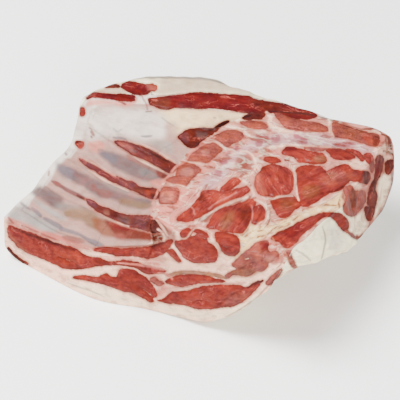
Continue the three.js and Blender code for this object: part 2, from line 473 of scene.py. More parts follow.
# %% [markdown]
# ## What the cuts show
# Along the sawn face run the split bodies of the vertebrae, dark red and spongy, then the canal of the
# spinal cord, then the muscles of the back and neck between cream-coloured sheets of fat. On the rib cut we
# see the muscles of the back, shoulder and breast cut across. Between the ribs the thin muscle shows red
# through the membrane. Points are pixels of the picture, and each shape has the tone of what it is.

# %% Split vertebrae
VERTEBRAE = {
    "sixth rib": ("marrow", [
        (162, 188), (170, 187), (177, 188.5), (178, 192), (177, 201), (171, 203), (164, 203), (159, 201),
    ]),
    "fifth rib": ("marrow", [
        (178, 166), (184, 163.5), (192, 164), (198, 167), (200, 170), (196, 174), (191, 178), (188, 182),
        (184, 185.5), (178, 184), (172, 182), (166, 179.5), (171, 177), (176, 174),
    ]),
    "fourth rib": ("marrow", [
        (199, 147), (206, 144), (214, 143.5), (219, 146), (221, 150), (216, 154), (212, 158), (206, 162),
        (198, 161), (187, 159.5), (190, 155), (195, 151),
    ]),
    "third rib": ("marrow", [
        (213, 137), (220, 133), (228, 130.5), (236, 130), (241, 132), (243, 136), (240, 139), (233, 142),
        (227, 146), (222, 142.5), (217, 139.5),
    ]),
    "second rib": ("marrow", [
        (240, 122), (247, 121), (256, 121.5), (263, 123), (267, 126), (262, 128), (254, 128), (247, 126),
    ]),
    "lower neck": ("marrow", [
        (274, 113), (280, 113), (288, 117), (296, 119.5), (306, 121), (316, 122.5), (325, 126),
        (327, 130),
        (320, 131), (308, 129.5), (296, 129.5), (286, 127), (280, 121),
    ]),
    "upper neck": ("marrow", [
        (332, 123), (338, 123), (345, 125.5), (352, 128), (358, 130), (364, 131.5), (370, 132.5),
        (376, 134),
        (378.5, 138), (378, 143), (374, 145.5), (368, 144.5), (362, 142), (355, 140), (348, 138.5),
        (340, 136.5),
        (334, 135.5), (331, 130),
    ]),
}

# %% Muscles on the sawn face
NECK_MUSCLES = {
    "over the canal": ("lean", [
        (282, 152), (286, 147), (292, 146.5), (300, 149), (310, 151.5), (320, 153), (325, 157),
        (324, 162),
        (316, 163), (305, 162), (298, 161), (293, 156), (286, 154.5),
    ]),
    "behind it": ("lean", [
        (326, 149), (334, 148.5), (342, 150), (350, 153), (354, 157), (347, 158.5), (338, 159),
        (332, 157), (329, 153),
    ]),
    "small slip": ("lean", [(264, 158), (270, 156.5), (277, 158.5), (280, 161), (273, 162), (266, 161)]),
    "slip at the end": ("lean", [(364, 154), (370, 153), (372, 157), (370, 163), (366, 160)]),
    "round": ("lean", [
        (262, 168), (268, 165), (276, 164.5), (284, 167), (290, 171), (293, 178), (292, 186), (289, 192),
        (283, 195), (276, 197), (270, 195), (262, 195), (257, 191), (255, 184), (256, 176),
    ]),
    "below the round": ("lean", [
        (271, 200), (278, 197), (286, 196), (293, 196), (298, 201), (300, 205), (294, 209), (289, 214),
        (283, 217), (277, 214), (273, 207),
    ]),
    "tapered": ("lean", [
        (296, 169), (303, 166), (312, 165.5), (320, 167), (326, 171), (332, 168.5), (340, 165),
        (347, 165),
        (352, 169), (360, 171), (368, 172), (369, 178), (366, 183), (358, 181), (350, 180), (345, 184),
        (340, 189), (330, 192), (322, 196), (314, 202), (305, 206), (299, 203), (297, 196), (296, 188),
        (297, 180),
    ]),
    "under the mane": ("lean", [
        (271, 238), (277, 233), (285, 229.5), (292, 226), (298, 222), (305, 219), (312, 216.5),
        (319, 213.5),
        (326, 212.5), (333, 213), (339, 213), (343, 216), (347, 220), (348, 225), (346, 229),
        (344, 230.5),
        (340, 227), (337, 223), (334, 219), (330, 216), (324, 216), (319, 219), (314, 223), (309, 228),
        (304, 231), (300, 235), (297, 240), (293, 244), (287, 247), (283, 246), (279, 241), (275, 240),
    ]),
    "first at the end": ("pale lean", [
        (344, 187), (350, 186), (353, 190), (358, 191), (363, 191), (365, 196), (364, 202), (362, 206),
        (358, 210),
        (355, 214), (350, 215.5), (346, 213), (343, 209), (344, 203), (346, 197), (344, 192),
    ]),
    "second at the end": ("dried lean", [
        (376, 157), (379, 155), (382, 157), (382.5, 163), (381, 170), (379, 176), (376, 182), (374, 188),
        (372, 193),
        (369, 190), (371, 184), (374, 178), (375, 172), (375, 164),
    ]),
    "third at the end": ("dried lean", [
        (385, 162), (388, 160.5), (392, 160), (393, 163), (392, 167), (390, 171), (388, 173.5),
        (386, 172), (385, 167),
    ]),
    "fourth at the end": ("dried lean", [
        (369, 191), (373, 189.5), (376, 193), (375.5, 200), (374, 205.5), (369, 205.5), (367, 203),
        (368, 197),
    ]),
    "fifth at the end": ("dried lean", [
        (365, 207), (370, 206.5), (374, 207), (373, 212), (371, 218), (369, 220), (366, 217), (365, 212),
    ]),
    "slip down the end": ("pale lean", [
        (369, 153), (372, 156), (373, 163), (372.5, 171), (370, 169), (370, 161),
    ]),
}
BACK_MUSCLES = {
    "between the spines": ("lean", [
        (220, 190), (225, 184), (232, 178), (238, 178), (240, 180), (237, 184), (231, 188), (226, 191),
    ]),
    "streaked": ("lean", [
        (176, 219), (181, 214), (188, 209), (193, 204), (199, 197), (203, 191), (213, 190), (222, 192),
        (232, 190), (240, 188), (247, 186), (249, 189), (244, 194), (238, 197), (233, 200), (224, 203),
        (217, 207), (210, 210), (203, 214), (196, 218), (190, 220), (183, 221),
    ]),
    "triangle": ("lean", [
        (207, 226), (210, 220), (214, 214), (219, 209.5), (226, 207), (233, 205), (240, 203), (247, 200),
        (253, 199), (255, 203), (252, 208), (251, 214), (249, 220), (246, 227), (241, 232), (236, 232),
        (230, 231), (224, 231), (218, 229), (212, 228),
    ]),
    "beside the triangle": ("lean", [
        (253, 208), (258, 205), (262, 206), (264, 210), (264, 216), (262, 221), (257, 223), (252, 222),
        (251, 216),
    ]),
    "over the eye": ("lean", [
        (215, 233), (220, 232), (227, 233), (234, 235), (238, 239), (239, 246), (238, 251), (234, 254.5),
        (228, 255), (223, 252), (219, 247), (216, 240),
    ]),
}

# %% Muscles on the rib cut
RIB_CUT_MUSCLES = {
    "small round": ("lean", [
        (180, 233), (183, 230), (188, 228.5), (191, 231), (190, 235), (186, 237), (181, 236),
    ]),
    "eye": ("lean", [
        (175, 241), (180, 240), (187, 238), (193, 236), (197, 233), (192, 229), (196, 228.5), (202, 231),
        (207, 233), (208, 236), (206, 238), (208, 242), (212, 245), (216, 249), (217, 254), (215, 260),
        (210, 261.5), (203, 262), (195, 262), (189, 259.5), (184, 256), (180, 251), (176, 246),
    ]),
    "beside the eye": ("lean", [
        (167, 251), (171, 248.5), (174, 251), (178, 257), (180, 261), (177, 261), (173, 257), (170, 254),
    ]),
    "marbled": ("pale lean", [
        (232, 264), (236, 260), (241, 255), (246, 251), (251, 247), (255, 243), (260, 241.5), (266, 241),
        (268, 244), (267, 249), (270, 252), (275, 251), (278, 254), (277, 258), (268, 262), (266, 267),
        (262, 270), (256, 270), (252, 273), (247, 275), (240, 275), (233, 274), (228, 277), (225, 275),
        (232, 271), (236, 268),
    ]),
    "upper lens": ("lean", [
        (165, 281), (170, 278), (177, 275.5), (185, 274.5), (200, 274.5), (207, 276), (213, 278),
        (224, 280.5),
        (218, 281.5), (203, 282), (196, 283), (188, 284.5), (181, 285.5), (175, 284.5), (170, 283),
    ]),
    "lower lens": ("lean", [
        (157, 300), (163, 299), (168, 295), (173, 291.5), (187, 291), (194, 289), (202, 286.5),
        (210, 285.5),
        (220, 285), (238, 285.5), (243, 287), (248, 287), (254, 284.5), (259, 283.5), (256, 288),
        (251, 293), (245, 298.5),
        (238, 303), (231, 305.5), (223, 306), (215, 307.5), (206, 308), (198, 308), (190, 306),
        (182, 304),
        (174, 303), (166, 302),
    ]),
    "right edge": ("pale lean", [
        (266, 283), (268, 279), (272, 275), (277, 271), (281, 269), (279, 274), (275, 279), (271, 284),
    ]),
    "breast": ("lean", [
        (73, 277), (80, 275.5), (90, 276.5), (97, 277), (102, 275), (106, 273.5), (110, 276.5),
        (116, 277),
        (118, 272), (121, 269), (127, 269), (134, 271), (141, 275), (147, 279), (151, 284), (154, 289),
        (156, 295), (152, 298), (153, 301), (149, 301), (145, 298), (139, 295), (132, 292), (124, 290.5),
        (116, 288), (108, 285), (100, 282.5), (92, 281), (85, 279), (78, 278),
    ]),
    "beside the breast": ("pale lean", [
        (150, 279), (154, 277.5), (158, 280), (163, 283), (160, 284.5), (155, 283),
    ]),
    "under the ribs": ("lean", [
        (8, 226), (14, 227), (22, 230), (32, 233), (42, 237.5), (52, 241.5), (62, 244.5), (70, 247),
        (77, 250),
        (82, 254), (90, 257), (100, 258), (108, 261.5), (125, 260), (135, 262), (143, 264.5), (150, 267),
        (165, 271), (150, 273), (143, 271), (135, 267), (125, 265), (115, 264), (97, 265), (88, 267),
        (78, 268),
        (68, 268), (60, 266), (52, 262), (44, 258.5), (35, 255), (26, 251), (18, 246), (12, 240),
        (8, 235),
    ]),
    "under the lining": ("lean", [
        (94, 249), (105, 247), (120, 248.5), (135, 248), (150, 246), (160, 243), (172, 240), (164, 252),
        (156, 256), (148, 257.5), (140, 256), (130, 255), (118, 255), (105, 252),
    ]),
}

# %% Muscle that shows in the chest and along the flap, and painted shade in the hollow by the spine
CHEST_MUSCLES = {
    "first slot": ("slot lean", [
        (115, 141), (121, 140.5), (127, 142), (135, 144.5), (141, 146.5), (150, 149.5), (157, 153),
        (163, 157.5),
        (170, 161.5), (175, 164.5), (176, 167), (174, 170), (171, 172.5), (165, 170.5), (158, 167),
        (152, 163),
        (146, 160), (139, 157), (133, 154), (128, 151), (122, 147.5), (117, 144.5),
    ]),
    "second slot": ("slot lean", [
        (79, 158), (86, 161), (93, 163), (100, 168), (107, 172), (112, 174), (118, 177), (125, 180),
        (133, 182),
        (138, 186), (145, 188), (152, 188), (158, 191), (158.5, 196), (155, 198.5), (150, 197.5),
        (143, 195),
        (137, 192), (130, 189), (124, 186), (118, 183), (112, 181), (106, 177.5), (100, 174), (95, 170),
        (90, 167.5), (84, 164),
    ]),
    "third slot": ("slot lean", [
        (86, 199), (92, 200), (97, 204), (103, 207), (110, 209.5), (117, 212.5), (126, 214.5),
        (136, 215.5),
        (148, 215.5), (152, 218), (150, 226), (149, 230.5), (143, 229), (135, 227), (126, 225),
        (119, 222.5),
        (112, 218.5), (105, 215), (98, 211), (92, 207), (88, 203),
    ]),
    # painted shade: the hollow where the ribs meet the spine, drawn as a dark patch of flesh
    "gap beside the spine": ("shadow", [
        (152, 222), (153.5, 219.5), (156, 221.5), (159, 226), (161, 230), (158, 232), (153, 232),
        (149.5, 230),
        (148, 227), (150.5, 225),
    ]),
    "at the inlet": ("dark lean", [
        (178, 136), (184, 131), (192, 128.5), (203, 128), (213, 128), (219, 124), (224, 121.5),
        (228, 121),
        (221, 126), (216, 130), (210, 134.5), (204, 138), (199, 142), (196, 146), (190, 147), (185, 144),
        (181, 140),
    ]),
    "beside the neck": ("dark lean", [
        (242, 118), (250, 113), (258, 112), (265, 113), (262, 117), (255, 118.5),
    ]),
    "along the flap": ("crimson", [
        (148, 99), (152, 98), (160, 97), (176, 95), (192, 93), (200, 92.5), (222, 94), (246, 96),
        (258, 100),
        (280, 103), (300, 106), (310, 111), (316, 115.5), (305, 118.5), (290, 116), (275, 112),
        (255, 112),
        (246, 112), (230, 109.5), (214, 107.5), (200, 107.5), (178, 107), (166, 108.5), (160, 108),
        (155, 106), (150, 104),
    ]),
    "strip of the flap": ("crimson", [
        (86, 98), (90, 94.5), (96, 92.5), (112, 94), (128, 94.5), (135, 97), (134, 99.5), (127, 100.5),
        (112, 98.5), (96, 96.5),
    ]),
    "corner of the flap": ("crimson", [
        (121, 86.5), (125, 82), (130, 81), (138, 83), (146, 84), (152, 84), (156, 86.5), (155, 90),
        (150, 90),
        (147, 93), (140, 94), (133, 93), (127, 90.5),
    ]),
}

# %% Thin streaks of muscle, with their half widths
STREAKS = {
    "canal line": ("rose", [(305, 147, 0.4), (312, 148.5, 1), (319, 149, 1.3), (326, 148, 0.8)]),
    "tail of the neck": ("lean", [
        (347, 149.5, 0.8), (353, 151, 1.5), (358, 154, 1.9), (362, 158.5, 1.6),
    ]),
    "edge of the flap": ("dark lean", [(106, 86, 0.8), (112, 85.5, 1.4), (118, 86, 0.9)]),
    "below the mane": ("rose", [(288, 252, 1), (290, 258, 1.6), (292, 263, 2), (295, 267, 1)]),
    "lobe edge": ("pale lean", [
        (345, 230, 0.8), (350, 233.5, 0.6), (354, 236.5, 0.8), (359, 237.5, 0.8), (363, 234.5, 0.7),
        (367, 231, 0.6),
    ]),
    "outer line": ("tan fat", [
        (167, 275, 0.4), (180, 272, 0.9), (200, 272.5, 0.9), (215, 275, 0.8), (226, 278, 0.4),
    ]),
    "left foot": ("dark lean", [(8, 248, 0.7), (13, 254, 0.9), (20, 260, 1), (27, 263, 0.6)]),
    "corner spot": ("lean", [(82, 109, 1.8), (82, 113, 2.2)]),
    "rib end spot": ("lean", [(77, 143, 2), (80, 144.5, 3)]),
    "right line": ("dark lean", [(245, 289, 0.6), (254, 284, 1), (262, 280, 0.7)]),
}

# %% Pale seams of fat and sinew that part the muscles
SEAMS = {
    "streaked, upper": [(228, 195, 0.6), (232, 190, 0.9), (238, 186, 0.7)],
    "streaked, lower": [
        (210, 212.5, 0.9), (216, 209, 1.1), (222, 206, 1.1), (235, 200, 1), (247, 196, 0.9),
    ],
    "streaked, fleck": [(209, 203, 1), (212, 202, 0.9)],
    "streaked, cross": [(190, 206, 0.5), (190, 213, 0.6), (194, 219, 0.5)],
    "streaked, second cross": [(200, 200, 0.6), (201, 204, 0.7), (203, 209, 0.4)],
    "lower lens": [
        (214, 308, 0.5), (220, 302.5, 0.55), (228, 296.5, 0.5), (235, 292, 0.5), (241, 289, 0.55),
        (247, 286, 0.5),
    ],
    "lower lens, second": [(190, 303, 0.4), (198, 300, 0.5), (206, 301, 0.4)],
    "breast": [(143, 289, 0.9), (147, 292, 0.9), (152, 296, 0.8)],
    "marbled, first": [(244, 259, 1.2), (248, 258, 1.3)],
    "marbled, second": [(250, 264, 0.9), (254, 262, 0.9)],
    "marbled, third": [(261, 248, 0.5), (263, 254, 1), (262, 259, 0.7)],
    "marbled, fourth": [(240, 268, 0.6), (246, 265, 0.7), (252, 266, 0.5)],
    "under the mane": [(281, 238, 0.5), (284, 243, 0.9), (287, 248, 0.8)],
    "eye, top": [(206, 239, 0.5), (201, 236, 0.6), (196, 233, 0.6)],
    "tapered, fork": [(326, 171, 1), (329, 175, 0.9), (331, 180, 0.5)],
    "neck end": [(350, 198, 0.3), (351, 205, 0.5), (350, 210, 0.3)],
    "neck end, second": [(357, 193, 0.3), (358, 200, 0.45), (358, 206, 0.3)],
    "long muscle": [(58, 256, 0.3), (66, 259, 0.7), (74, 262, 0.4)],
    "over the eye": [(219, 241, 0.5), (224, 247, 0.7), (232, 246, 0.6), (238, 243, 0.6)],
}
drawn = [
    VERTEBRAE, NECK_MUSCLES, BACK_MUSCLES, RIB_CUT_MUSCLES, CHEST_MUSCLES, STREAKS, SEAMS,
]
print(sum(map(len, drawn)), "shapes")

# %% Soft patches of tone in what lies around the muscles
GROUND_PATCHES = {
    # tone, softness in pixels, share, outline
    "under the streaked": ("blood", 1.5, 0.8, [
        (196, 219), (210, 212), (224, 204), (246, 196), (252, 198), (236, 205), (219, 211), (206, 222),
    ]),
    "cord canal": ("canal lilac", 3, 0.9, [
        (186, 206), (193, 194), (200, 184), (208, 174), (220, 166), (228, 158), (238, 149), (248, 142),
        (262, 136), (285, 133), (310, 133), (332, 134), (350, 141), (372, 148), (374, 154), (356, 151),
        (340, 147), (315, 146), (290, 145), (268, 147), (256, 150), (244, 154), (234, 163), (226, 176),
        (214, 188), (204, 196), (196, 206),
    ]),
    "far wall of the chest": ("cream fat", 5, 0.9, [
        (160, 108), (200, 109), (240, 112), (250, 117), (228, 121), (212, 127), (190, 128), (176, 134),
        (166, 125),
    ]),
    "grey wall of the chest": ("cool white", 6, 0.9, [
        (95, 108), (150, 110), (166, 120), (166, 134), (150, 140), (115, 136), (88, 140), (84, 120),
    ]),
    "pink in the corner": ("pale membrane", 4, 0.7, [
        (166, 121), (176, 123), (178, 134), (176, 146), (170, 144), (165, 132),
    ]),
    "outer fat": ("shaded fat", 4, 0.8, [
        (128, 78), (200, 76), (256, 80), (270, 96), (200, 91), (158, 95), (156, 82),
    ]),
    "between the lenses": ("pink sinew", 2, 0.7, [
        (160, 284), (190, 285), (240, 281), (240, 284), (200, 286), (172, 290), (156, 298), (157, 288),
    ]),
    "below the ribs": ("pink sinew", 3, 0.6, [
        (96, 257), (130, 257), (165, 257), (165, 270), (140, 262), (110, 260),
    ]),
    "behind the breast": ("pink fat", 3, 0.6, [
        (118, 266), (140, 270), (160, 276), (170, 290), (160, 298), (154, 285), (140, 273), (120, 268),
    ]),
    "step of the spine": ("pink fat", 4, 0.7, [
        (150, 205), (180, 202), (176, 222), (170, 240), (164, 240), (156, 222),
    ]),
    "flank of the first body": ("pink fat", 4, 0.7, [
        (178, 186), (200, 186), (206, 196), (186, 208), (178, 204),
    ]),
    "arch ring": ("rose", 2, 0.8, [
        (240, 154), (248, 154), (252, 160), (252, 168), (246, 174), (238, 172), (234, 166), (236, 158),
    ]),
    "marrow of the arch": ("marrow", 1.5, 0.9, [
        (241, 160), (246, 160), (248, 164), (246, 168), (242, 168), (240, 164),
    ]),
    "mane": ("mane fat", 4, 0.8, [
        (244, 226), (270, 224), (300, 212), (330, 200), (340, 192), (340, 208), (310, 216), (280, 230),
        (262, 238), (240, 256), (232, 258),
    ]),
    "tan by the mane": ("tan fat", 3, 0.6, [(262, 206), (272, 208), (272, 220), (264, 222)]),
    "tan of the marbled": ("tan fat", 3, 0.7, [
        (232, 270), (252, 271), (264, 262), (266, 270), (250, 276), (234, 277),
    ]),
    # painted shade: the wall of fat that turns away from the light, laid on in cool white
    "painted shade on the fat wall": ("cool white", 5, 0.6, [(328, 226), (342, 230), (342, 248), (330, 250)]),
    "white under the eye": ("white sinew", 4, 0.8, [
        (166, 260), (190, 264), (228, 262), (226, 268), (166, 268),
    ]),
    "fat under the lenses": ("fat", 4, 0.8, [
        (160, 304), (200, 310), (240, 305), (258, 292), (250, 308), (210, 320), (165, 312),
    ]),
    "fat under the breast": ("fat", 4, 0.8, [
        (75, 282), (110, 288), (150, 304), (160, 308), (110, 302), (70, 284),
    ]),
}

# %% Ribs and blood seen through the lining
CHEST_PATCHES = {
    "near wall": ("cool membrane", 3, 0.9, [
        (8, 213), (20, 204), (30, 209), (42, 218), (58, 228), (50, 232), (36, 227), (22, 221), (12, 220),
    ]),
    "fifth rib, body": ("rib", 3, 0.9, [
        (31, 191), (38, 185.5), (43, 186.5), (50, 190), (57, 193.5), (63, 198.5), (61, 203.5),
        (56, 206.5),
        (51, 207), (46, 203.5), (40, 199), (34, 196),
    ]),
    "fifth rib, grey": ("grey membrane", 3, 0.8, [
        (54, 205), (62, 202), (72, 205), (84, 207), (84, 209), (70, 208.5), (64, 211), (58, 209),
    ]),
    "fifth rib, tan": ("tan membrane", 3, 0.9, [
        (64, 211), (70, 208), (80, 207.5), (90, 210), (97, 214), (99, 222), (97, 229), (92, 228.5),
        (86, 224.5),
        (80, 220.5), (74, 219.5), (66, 216),
    ]),
    "fifth rib, spot": ("tan membrane", 1.2, 0.8, [
        (64, 211), (69, 210.5), (71, 213.5), (68, 216), (64.5, 215),
    ]),
    "fifth rib, orange": ("rust", 2.5, 0.8, [
        (92, 218), (100, 217), (106, 221), (110, 228), (114, 236), (104, 236), (98, 232), (94, 226),
    ]),
    "fifth rib, bloody": ("blood", 2.5, 0.95, [
        (104, 220), (112, 221), (122, 225), (134, 228), (146, 231), (157, 233), (163, 237), (162, 241),
        (150, 241),
        (138, 239.5), (126, 239), (116, 237), (110, 230),
    ]),
    "fifth rib, bright": ("crimson", 2.5, 1.0, [
        (111, 222), (117, 223), (124, 226), (130, 227), (134, 229.5), (127, 230), (119, 229.5),
        (113, 227.5),
    ]),
    "fifth rib, red end": ("blood", 2.5, 0.7, [
        (130, 229), (142, 231), (156, 234), (158, 238), (146, 238), (134, 234),
    ]),
    "fifth rib, pale": ("pale lean", 2.5, 0.8, [
        (113, 233), (121, 233), (124, 236), (120, 239), (114, 237),
    ]),
    "edge above the fifth": ("pale membrane", 2, 0.8, [
        (66, 220), (76, 223), (86, 228), (96, 232), (95, 236), (84, 233), (72, 228), (64, 223),
    ]),
    "cool edge above the fifth": ("cool membrane", 2, 0.8, [
        (34, 199), (40, 201), (50, 208), (60, 213), (66, 218), (60, 219), (50, 214), (42, 208), (35, 203),
    ]),
    "below the fifth": ("pale membrane", 2, 0.8, [
        (70, 241), (90, 244), (104, 242), (124, 242), (150, 243), (160, 243), (150, 246), (120, 247),
        (98, 248), (80, 246),
    ]),
    "fourth rib, lilac": ("lilac", 3, 0.9, [
        (57, 163), (65, 164.5), (73, 168.5), (76, 173), (73, 180), (66, 178.5), (60, 174), (56, 169),
    ]),
    "fourth rib, body": ("rib", 3, 0.9, [
        (73, 169.5), (80, 171.5), (88, 175), (97, 179.5), (104, 183), (110, 187), (118, 190.5),
        (126, 193.5),
        (134, 196), (143, 197), (151, 199), (150, 206), (143, 207.5), (136, 207.5), (128, 206),
        (121, 203.5),
        (114, 200), (106, 198), (99, 197), (93, 194), (87, 190), (82, 185.5), (76, 183), (71, 179),
    ]),
    "fourth rib, mark": ("lilac", 1, 0.8, [
        (66, 166), (72, 168), (73, 173), (70, 177), (67, 174), (65, 170),
    ]),
    "fourth rib, pink": ("rosy membrane", 2, 0.8, [
        (97, 188), (107, 189), (112, 193), (108, 198), (99, 196.5), (96, 192),
    ]),
    "fourth rib, dapple": ("rosy membrane", 1.2, 0.8, [
        (91, 184), (95, 184), (97, 188), (99, 191), (94, 191.5), (90, 190), (91, 187),
    ]),
    "fourth rib, tan": ("tan membrane", 3, 0.9, [
        (120, 198), (132, 199), (143, 203), (150, 203), (150, 206), (140, 207.5), (128, 206), (120, 203),
    ]),
    "fourth rib, yellow": ("tan membrane", 1.5, 0.7, [
        (137, 203), (144, 201), (147, 206), (140, 208), (136, 207),
    ]),
    "fourth rib, grey edge": ("grey membrane", 1.5, 0.7, [
        (104, 180), (112, 184.5), (120, 188), (128, 190.5), (128, 193), (118, 190), (108, 185.5),
    ]),
    "edge above the fourth": ("pale membrane", 2, 0.8, [
        (92, 157), (102, 160), (110, 165), (124, 172.5), (134, 177), (148, 182), (160, 183), (158, 188),
        (146, 186), (130, 180), (112, 172), (98, 164),
    ]),
    "third rib, body": ("rib", 3, 0.9, [
        (98, 151), (104, 150.5), (114, 152.5), (124, 155.5), (133, 159.5), (142, 165), (150, 168.5),
        (158, 170.5),
        (166, 174.5), (164, 178.5), (156, 179.5), (148, 181), (138, 179), (131, 175.5), (124, 172.5),
        (117, 169),
        (111, 165.5), (106, 160), (101, 155),
    ]),
    "third rib, lilac": ("lilac", 3, 0.8, [
        (98, 151), (108, 152), (116, 156), (114, 163), (106, 159), (100, 155),
    ]),
    "third rib, pink edge": ("rosy membrane", 1.5, 0.8, [
        (126, 154), (134, 157), (142, 162), (150, 166), (160, 172), (168, 176), (166, 179), (156, 174),
        (146, 168.5), (136, 163), (128, 159),
    ]),
    "third rib, grey end": ("grey membrane", 2, 0.7, [
        (140, 168), (150, 170), (156, 174), (152, 178), (142, 176), (138, 172),
    ]),
    "third rib, bloody end": ("dark lean", 2, 0.85, [
        (156, 170), (166, 173), (169, 177), (162, 179), (157, 175),
    ]),
    "third rib, root": ("pink fat", 2, 0.8, [(150, 181), (160, 179), (168, 180), (162, 186), (152, 185)]),
    "side of the inlet": ("cool membrane", 3, 0.6, [
        (150, 141), (160, 139.5), (170, 141), (173, 148), (172, 153), (164, 151), (154, 147),
    ]),
    "near the knob": ("pink fat", 2.5, 0.7, [(88, 142), (100, 140), (104, 147), (98, 152), (90, 150)]),
    "wall under the corner": ("cool white", 2, 0.8, [
        (78, 116), (84, 114), (85, 126), (82, 140), (77, 140), (77, 128),
    ]),
    "pink under the strip": ("pink fat", 1.5, 0.8, [
        (88, 100), (100, 99.5), (116, 100.5), (128, 101.5), (136, 100), (134, 104), (124, 106.5),
        (112, 104), (96, 104.5), (86, 106),
    ]),
    "olive over the strip": ("shaded fat", 1.5, 0.8, [
        (94, 90.5), (106, 87.5), (120, 88), (126, 92), (112, 93), (98, 92),
    ]),
    "near strip, orange": ("pink sinew", 2.5, 0.9, [
        (8, 217), (24, 223.5), (44, 232), (62, 237), (80, 243), (96, 249), (80, 250), (62, 243.5),
        (40, 236.5), (22, 230), (8, 225),
    ]),
    "near strip, tan": ("pink sinew", 1.5, 0.8, [
        (44, 231), (60, 235), (66, 240), (54, 239.5), (42, 235),
    ]),
    "near strip, pink": ("rose", 1.5, 0.8, [(62, 235.5), (74, 236), (84, 241), (78, 243), (66, 240)]),
}

# %% Soft patches at the end of the neck and in the canal
END_PATCHES = {
    "lilac of the canal": ("canal lilac", 3, 0.8, [
        (300, 133), (330, 135), (350, 142), (372, 149), (368, 153), (346, 149), (310, 146),
    ]),
    "canal blood, first": ("canal blood", 1.5, 0.9, [(219, 159), (226, 159), (227, 163), (220, 164)]),
    "canal blood, second": ("canal blood", 1.5, 0.8, [(215, 170), (221, 169), (221, 176), (216, 177)]),
    "canal blood, third": ("canal blood", 1.3, 0.9, [(231, 145), (237, 145), (238, 150), (233, 150)]),
    "canal blood, fourth": ("canal blood", 1.5, 0.8, [(224, 149), (230, 150), (229, 156), (223, 155)]),
    "canal blood, fifth": ("canal blood", 1.3, 0.8, [(255, 141), (262, 140), (262, 145), (256, 146)]),
    "canal blood, sixth": ("canal blood", 1.3, 0.9, [(264, 141), (270, 141), (270, 147), (265, 147)]),
    "canal blood, seventh": ("canal blood", 1.5, 0.8, [(256, 133), (267, 134), (267, 139), (257, 138)]),
    "canal blood, eighth": ("canal blood", 1.5, 0.8, [(271, 133), (279, 134), (279, 141), (272, 141)]),
    "canal blood, ninth": ("canal blood", 1.2, 0.9, [(293, 134), (298, 134), (299, 138), (294, 138)]),
    "canal blood, tenth": ("canal blood", 1.3, 0.9, [(299, 135), (307, 136), (307, 140), (300, 140)]),
    "canal blood, below": ("canal blood", 1.2, 0.9, [(290, 141), (306, 141), (305, 144), (291, 144)]),
    "canal blood, end": ("canal blood", 1.3, 0.9, [(332, 143), (343, 143), (344, 147), (333, 147)]),
    "canal blood, last": ("canal blood", 2.5, 0.8, [(344, 141), (354, 143), (353, 148), (345, 147)]),
    "pink past the body": ("pink sinew", 1.5, 0.8, [(378, 135), (384, 135), (385, 144), (380, 147)]),
    "white past the body": ("white sinew", 1.5, 0.9, [
        (374, 147), (381, 146), (385, 142), (386, 149), (382, 155), (375, 153),
    ]),
    "white knob": ("white sinew", 1.2, 0.95, [
        (383, 156.5), (386, 155), (390, 156), (390.5, 159.5), (387, 161), (383.5, 160),
    ]),
    "tan beside the chunk": ("tan fat", 1.2, 0.9, [
        (382.5, 164), (385, 163), (385, 170), (386, 173), (382.5, 172.5),
    ]),
    "between the end muscles": ("pink sinew", 1.5, 0.8, [
        (371, 172), (375, 170), (374, 178), (370, 186), (366, 194), (364, 192), (368, 184),
    ]),
    "white over the first": ("white sinew", 1.5, 0.9, [
        (351, 184), (358, 183), (361, 187), (357, 190), (352, 189),
    ]),
    "pale flap": ("fat", 2, 0.9, [
        (380, 176), (387, 172), (390, 176), (388, 188), (384, 200), (378, 210), (374, 216), (375, 205),
        (377, 195), (378, 185),
    ]),
    "pale lobe": ("fat", 3, 0.9, [
        (348, 214), (356, 214), (364, 212), (366, 222), (364, 230), (358, 235), (350, 231), (347, 222),
    ]),
    "white pocket": ("white sinew", 2, 0.8, [(344, 161), (360, 159), (368, 163), (366, 169), (352, 168)]),
    "pink by the marbled": ("pink sinew", 2, 0.85, [
        (268, 243), (276, 238), (284, 246), (286, 258), (278, 263), (270, 262),
    ]),
    "bloody corner": ("blood", 2, 0.85, [
        (152, 232), (160, 232), (165, 238), (172, 240), (170, 246), (160, 246), (152, 240),
    ]),
    "dapple by the spine": ("rose", 2, 0.8, [
        (158, 222), (166, 226), (174, 232), (176, 240), (170, 242), (165, 236), (160, 228),
    ]),
}

